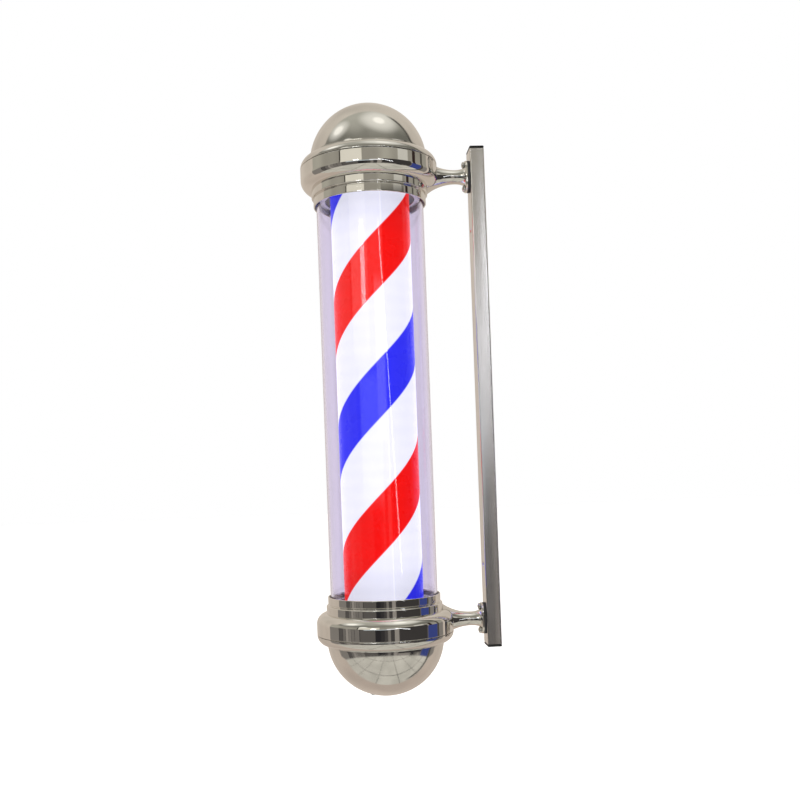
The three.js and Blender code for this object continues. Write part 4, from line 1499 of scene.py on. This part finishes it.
@dataclass
class Studio:
    """Pale floor, soft studio light, the camera and the room that the chrome mirrors.

    Attributes:
        axis_y: Pole axis along Y in metres.
        floor_z: Height of the floor in metres.
        camera_place: Camera from the pole axis along X and Y, and its height, in metres.
        lens: Focal length in millimetres on a 36 mm sensor.
        shift: Sensor shift that frames the pole off the lens axis.
        roll: Roll of the camera in degrees.
        floor_plate: Width, corner radius and thickness of the floor in millimetres.
    """

    axis_y: float
    floor_z: float = -0.52
    camera_place: Point3 = (1.1706, -0.0693, -0.0949)
    lens: float = 44.33
    shift: Point2 = (0.0251, 0.1003)
    roll: float = 2.12
    floor_plate: Point3 = (24000, 4000, 20)

    def camera(self) -> None:
        """Level camera that looks at the pole axis, rolled a little."""
        data = bpy.data.cameras.new("studio_camera")
        data.sensor_width = 36.0
        data.lens = self.lens
        data.shift_x, data.shift_y = self.shift
        data.clip_start = 0.05
        data.clip_end = 60
        along, aside, height = self.camera_place
        place = Vector((along, self.axis_y + aside, height))
        forward = (Vector((0, self.axis_y, height)) - place).normalized()
        level_right = forward.cross(Vector((0, 0, 1)))
        roll = math.radians(self.roll)
        right = level_right * math.cos(roll) - Vector((0, 0, 1)) * math.sin(roll)
        up = right.cross(forward)
        turn = Matrix((right, up, -forward)).transposed().to_4x4()
        camera = bpy.data.objects.new("studio_camera", data)
        camera.matrix_world = Matrix.Translation(place) @ turn
        bpy.context.scene.collection.objects.link(camera)
        bpy.context.scene.camera = camera

    def floor(self) -> None:
        """Wide pale floor below the pole."""
        width, corner, thickness = self.floor_plate
        loop = rounded_loop(width, width, corner, 8)
        floor = MeshShop.stacked("studio_floor", [(loop, -thickness), (loop, 0.0)])
        MeshShop.moved(floor, shifted(z=self.floor_z / MM))
        material = bpy.data.materials.new("studio_floor")
        graph = Graph(material)
        cloud = graph.noise(graph.place(), 0.8, 3)
        worn = graph.span(cloud, (0.3, 0.7), (0.0, 1.0))
        shade = graph.blend(worn, (0.90, 0.90, 0.905), (0.87, 0.87, 0.88))
        sockets = {"Base Color": shade, "Roughness": 0.6}
        sockets["Emission Color"] = (0.97, 0.98, 1, 1)
        sockets["Emission Strength"] = 0.6
        graph.surface(graph.node("BsdfPrincipled", sockets))
        floor.data.materials.append(material)
        floor.visible_glossy = False
        floor.visible_transmission = False

    def light(self, name: str, place: Point3, aim: Point3, size: Point2, power: float, tone: Colour) -> None:
        """Adds one soft rectangular light.

        Args:
            name: Name of the light.
            place: Where it hangs, in metres from the pole.
            aim: What it points at, in metres from the pole.
            size: Its width and height in metres.
            power: Its power in watts.
            tone: Its colour.
        """
        data = bpy.data.lights.new(name, "AREA")
        data.shape = "RECTANGLE"
        data.size, data.size_y = size
        data.energy = power
        data.color = tone
        lamp = bpy.data.objects.new(name, data)
        offset = Vector((0, self.axis_y, 0))
        direction = Vector(aim) - Vector(place)
        lamp.location = Vector(place) + offset
        lamp.rotation_euler = direction.to_track_quat("-Z", "Y").to_euler()
        lamp.visible_glossy = False
        lamp.visible_transmission = False
        bpy.context.scene.collection.objects.link(lamp)

    def band(
        self, graph: Graph, value: bpy.types.NodeSocket, middle: float, half: float, fade: float
    ) -> bpy.types.NodeSocket:
        """Share that is 1 while a value lies in a band and fades to 0 beside it.

        Args:
            graph: The world's graph.
            value: The value.
            middle: Middle of the band.
            half: Half its width.
            fade: Width of the fade on each side.

        Returns:
            The share.
        """
        away = graph.maths("ABSOLUTE", graph.maths("SUBTRACT", value, middle))
        return graph.span(away, (half, half + fade), (1.0, 0.0), True)

    def panels(
        self, graph: Graph, bearing: bpy.types.NodeSocket, per_radian: float, tones: tuple[Colour, Colour]
    ) -> bpy.types.NodeSocket:
        """Upright panels of random tone with dark gaps between them.

        Args:
            graph: The world's graph.
            bearing: Compass bearing in radians.
            per_radian: Panels in a radian.
            tones: Darkest and lightest panel.

        Returns:
            Colour of the panels.
        """
        sway = graph.maths("MULTIPLY", graph.maths("SINE", graph.maths("MULTIPLY", bearing, 5.3)), 0.16)
        scaled = graph.maths("MULTIPLY", graph.maths("ADD", bearing, sway), per_radian)
        cell = graph.maths("FLOOR", scaled)
        pick = graph.node("TexWhiteNoise", {"W": cell}, noise_dimensions="1D").outputs["Value"]
        share = graph.maths("FRACT", scaled)
        off_middle = graph.maths("ABSOLUTE", graph.maths("SUBTRACT", share, 0.5))
        gap = graph.span(off_middle, (0.455, 0.47), (0.0, 1.0))
        tone = graph.blend(pick, *tones)
        return graph.blend(gap, tone, (0.03, 0.028, 0.03))

    def tiles(
        self, graph: Graph, direction: bpy.types.NodeSocket, axes: bpy.types.Node
    ) -> bpy.types.NodeSocket:
        """Pale tiled floor of the room as it is seen in a mirror.

        Args:
            graph: The world's graph.
            direction: The direction that is looked in.
            axes: Its parts along X, Y and Z.

        Returns:
            Colour of the floor.
        """
        joints = None
        down = graph.maths("MINIMUM", axes.outputs[2], -0.05)
        for index, offset, per_height in TILE_JOINTS:
            run = graph.maths("ADD", graph.maths("DIVIDE", axes.outputs[index], down), offset)
            share = graph.maths("FRACT", graph.maths("MULTIPLY", run, per_height))
            off_middle = graph.maths("ABSOLUTE", graph.maths("SUBTRACT", share, 0.5))
            line = graph.span(off_middle, (0.480, 0.490), (0, 1))
            joints = line if joints is None else graph.maths("MAXIMUM", joints, line)
        cloud = graph.node("TexNoise", {"Vector": direction, "Scale": 2.2}).outputs[0]
        veined = graph.span(cloud, (0.35, 0.65), (0.0, 1.0))
        stone = graph.blend(veined, (0.70, 0.67, 0.60), (0.56, 0.54, 0.48))
        return graph.blend(graph.maths("MULTIPLY", joints, 0.9), stone, (0.08, 0.07, 0.066))

    def lamps(self, graph: Graph, direction: bpy.types.NodeSocket) -> bpy.types.NodeSocket:
        """Small round ceiling lamps.

        Args:
            graph: The world's graph.
            direction: The direction that is looked in.

        Returns:
            1 at a lamp, fading to 0 round it.
        """
        total = None
        for place, rim in CEILING_LAMPS:
            toward = tuple(Vector(place).normalized())
            match = graph.node("VectorMath", {0: direction, 1: toward}, operation="DOT_PRODUCT")
            near = match.outputs["Value"]
            halo = graph.span(near, (rim, 1.0), (0.0, 0.55), True)
            core = graph.span(near, (0.985, 0.9995), (0.0, 0.55), True)
            spot = graph.maths("ADD", halo, core)
            total = spot if total is None else graph.maths("MAXIMUM", total, spot)
        return total

    def high_wall(
        self, graph: Graph, bearing: bpy.types.NodeSocket, mottled: bpy.types.NodeSocket
    ) -> bpy.types.NodeSocket:
        """Wall below the ceiling: one bright bay, one pale bay, a dark edge and a dark pillar.

        Args:
            graph: The world's graph.
            bearing: Compass bearing in radians.
            mottled: Slow variation from 0 to 1.

        Returns:
            Colour of the wall.
        """
        wall = graph.blend(mottled, (0.47, 0.45, 0.385), (0.34, 0.32, 0.275))
        bays = (
            (-0.56, 0.31, 0.02, (0.84, 0.80, 0.70)),
            (-0.89, 0.015, 0.010, (0.04, 0.035, 0.03)),
            (0.98, 0.15, 0.03, (0.66, 0.64, 0.58)),
            (1.36, 0.05, 0.01, (0.035, 0.022, 0.02)),
        )
        for middle, half, fade, tone in bays:
            wall = graph.blend(self.band(graph, bearing, middle, half, fade), wall, tone)
        return wall

    def windows(
        self,
        graph: Graph,
        room: bpy.types.NodeSocket,
        bearing: bpy.types.NodeSocket,
        height: bpy.types.NodeSocket,
    ) -> bpy.types.NodeSocket:
        """Adds what stands before the low wall: counter, dark doorway, window, tube lamp and blind.

        Args:
            graph: The world's graph.
            room: Colour of the walls.
            bearing: Compass bearing in radians.
            height: Height part of the direction.

        Returns:
            Colour with the added things.
        """
        leaning = graph.maths("ADD", bearing, graph.maths("MULTIPLY", height, 1.2))
        slats = graph.maths("FRACT", graph.maths("MULTIPLY", graph.maths("ADD", height, leaning), 60))
        open_slats = graph.span(slats, (0.45, 0.55), (1.0, 0.1))
        for thing in (COUNTER, DOORWAY, WINDOW, TUBE_LAMP, BLIND):
            across = self.band(graph, leaning if thing.leaning else bearing, *thing.bearing)
            upright = self.band(graph, height, *thing.height)
            share = graph.maths("MULTIPLY", across, upright)
            if thing.slatted:
                share = graph.maths("MULTIPLY", share, open_slats)
            room = graph.blend(share, room, thing.tone)
        return room

    def clouds(self, graph: Graph, direction: bpy.types.NodeSocket) -> bpy.types.NodeSocket:
        """Slow variation from 0 to 1 over the room's surfaces."""
        cloud = graph.node("TexNoise", {"Vector": direction, "Scale": 1.6, "Detail": 1.0}).outputs[0]
        return graph.span(cloud, (0.35, 0.65), (0.0, 1.0))

    def room_ahead(
        self, graph: Graph, direction: bpy.types.NodeSocket, axes: bpy.types.Node
    ) -> bpy.types.NodeSocket:
        """Front of the room: ceiling with its lamps, high and low walls, and tiled floor.

        Args:
            graph: The world's graph.
            direction: The direction that is looked in.
            axes: Its parts along X, Y and Z.

        Returns:
            Colour of the room.
        """
        ahead, aside, height = axes.outputs
        bearing = graph.maths("ARCTAN2", aside, ahead)
        mottled = self.clouds(graph, direction)
        overhead = graph.blend(mottled, (0.50, 0.49, 0.43), (0.40, 0.39, 0.34))
        cove = graph.blend(mottled, (0.27, 0.262, 0.225), (0.19, 0.185, 0.16))
        ceiling = graph.blend(graph.span(height, (0.55, 0.98), (0.0, 1.0), True), cove, overhead)
        lit = graph.blend(self.lamps(graph, direction), ceiling, (1.25, 1.22, 1.14))
        high_wall = self.high_wall(graph, bearing, mottled)
        low_wall = self.panels(graph, bearing, 6.0, ((0.015, 0.014, 0.018), (0.36, 0.33, 0.30)))
        low_wall = graph.blend(self.band(graph, bearing, 1.44, 0.17, 0.02), low_wall, (0.05, 0.07, 0.26))
        tiles = self.tiles(graph, direction, axes)
        room = graph.blend(graph.span(height, (-0.50, -0.48), (0.0, 1.0)), tiles, low_wall)
        room = graph.blend(graph.span(height, (0.115, 0.13), (0.0, 1.0)), room, high_wall)
        room = self.windows(graph, room, bearing, height)
        return graph.blend(graph.span(height, (0.44, 0.47), (0.0, 1.0)), room, lit)

    def world(self) -> None:
        """The mirrored room with its pale back wall; the camera itself sees plain white."""
        world = bpy.data.worlds.new("studio_room")
        bpy.context.scene.world = world
        graph = Graph(world)
        direction = graph.node("TexCoord").outputs["Generated"]
        axes = graph.node("SeparateXYZ", {0: direction})
        ahead, aside, height = axes.outputs
        room = self.room_ahead(graph, direction, axes)
        steepness = graph.maths("ABSOLUTE", height)
        reach = graph.span(steepness, (0.38, 0.52), (0.32, 0.145), True)
        behind = graph.span(graph.maths("ADD", ahead, reach), (-0.015, 0.015), (1.0, 0.0))
        slope = graph.span(height, (-0.9, 0.9), (0.0, 1.0))
        back_wall = graph.blend(slope, (0.60, 0.50, 0.43), (0.70, 0.64, 0.56))
        stained = graph.maths("MULTIPLY", self.clouds(graph, direction), 0.25)
        back_wall = graph.blend(stained, back_wall, (0.30, 0.27, 0.24))
        corner = self.band(graph, ahead, -0.09, 0.03, 0.02)
        right_corner = graph.maths("MULTIPLY", corner, graph.span(aside, (0.35, 0.5), (0.0, 0.85)))
        room = graph.blend(right_corner, room, (0.05, 0.045, 0.04))
        room = graph.blend(behind, room, back_wall)
        path = graph.node("LightPath")
        through = graph.maths("MULTIPLY", path.outputs["Is Transmission Ray"], behind)
        room = graph.blend(through, room, (0.87, 0.80, 0.83))
        colour = graph.blend(path.outputs["Is Camera Ray"], room, (1.0, 1.0, 1.0))
        sky = graph.node("Background", {"Color": colour, "Strength": 1.0})
        out = graph.node("OutputWorld")
        graph.tree.links.new(sky.outputs[0], out.inputs["Surface"])

    def build(self) -> None:
        """Sets camera, floor, lights and room."""
        self.camera()
        self.floor()
        self.world()
        self.light("key_box", (1.6, -1.5, 1.3), (0, 0, 0), (0.9, 0.6), 26, (1.0, 0.98, 0.95))
        self.light("fill_box", (1.3, 1.7, 0.5), (0, 0, 0), (0.5, 1.2), 12, (0.96, 0.97, 1.0))
        self.light("top_box", (0.1, -0.1, 2.0), (0, 0, 0), (1.2, 1.2), 14, (1.0, 1.0, 1.0))
        bpy.context.scene.view_settings.view_transform = "Standard"


def main() -> None:
    """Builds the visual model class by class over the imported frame."""
    logging.basicConfig(level=logging.INFO, format="%(name)s %(message)s")
    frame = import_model()
    datum = Datum.read()
    axis_y = datum.axis_y * MM
    Studio(axis_y).build()
    shelf = FinishShelf(axis_y)
    shelf.stock()
    InnerWorks(frame["nodes"], shelf).build()
    for end in End:
        PoleEnd(datum, shelf, end=end).build()
    ClearTube(datum, shelf).build()
    StripedDrum(datum, shelf).build()
    WallRail(datum, shelf).build()


if __name__ == "__main__":
    main()
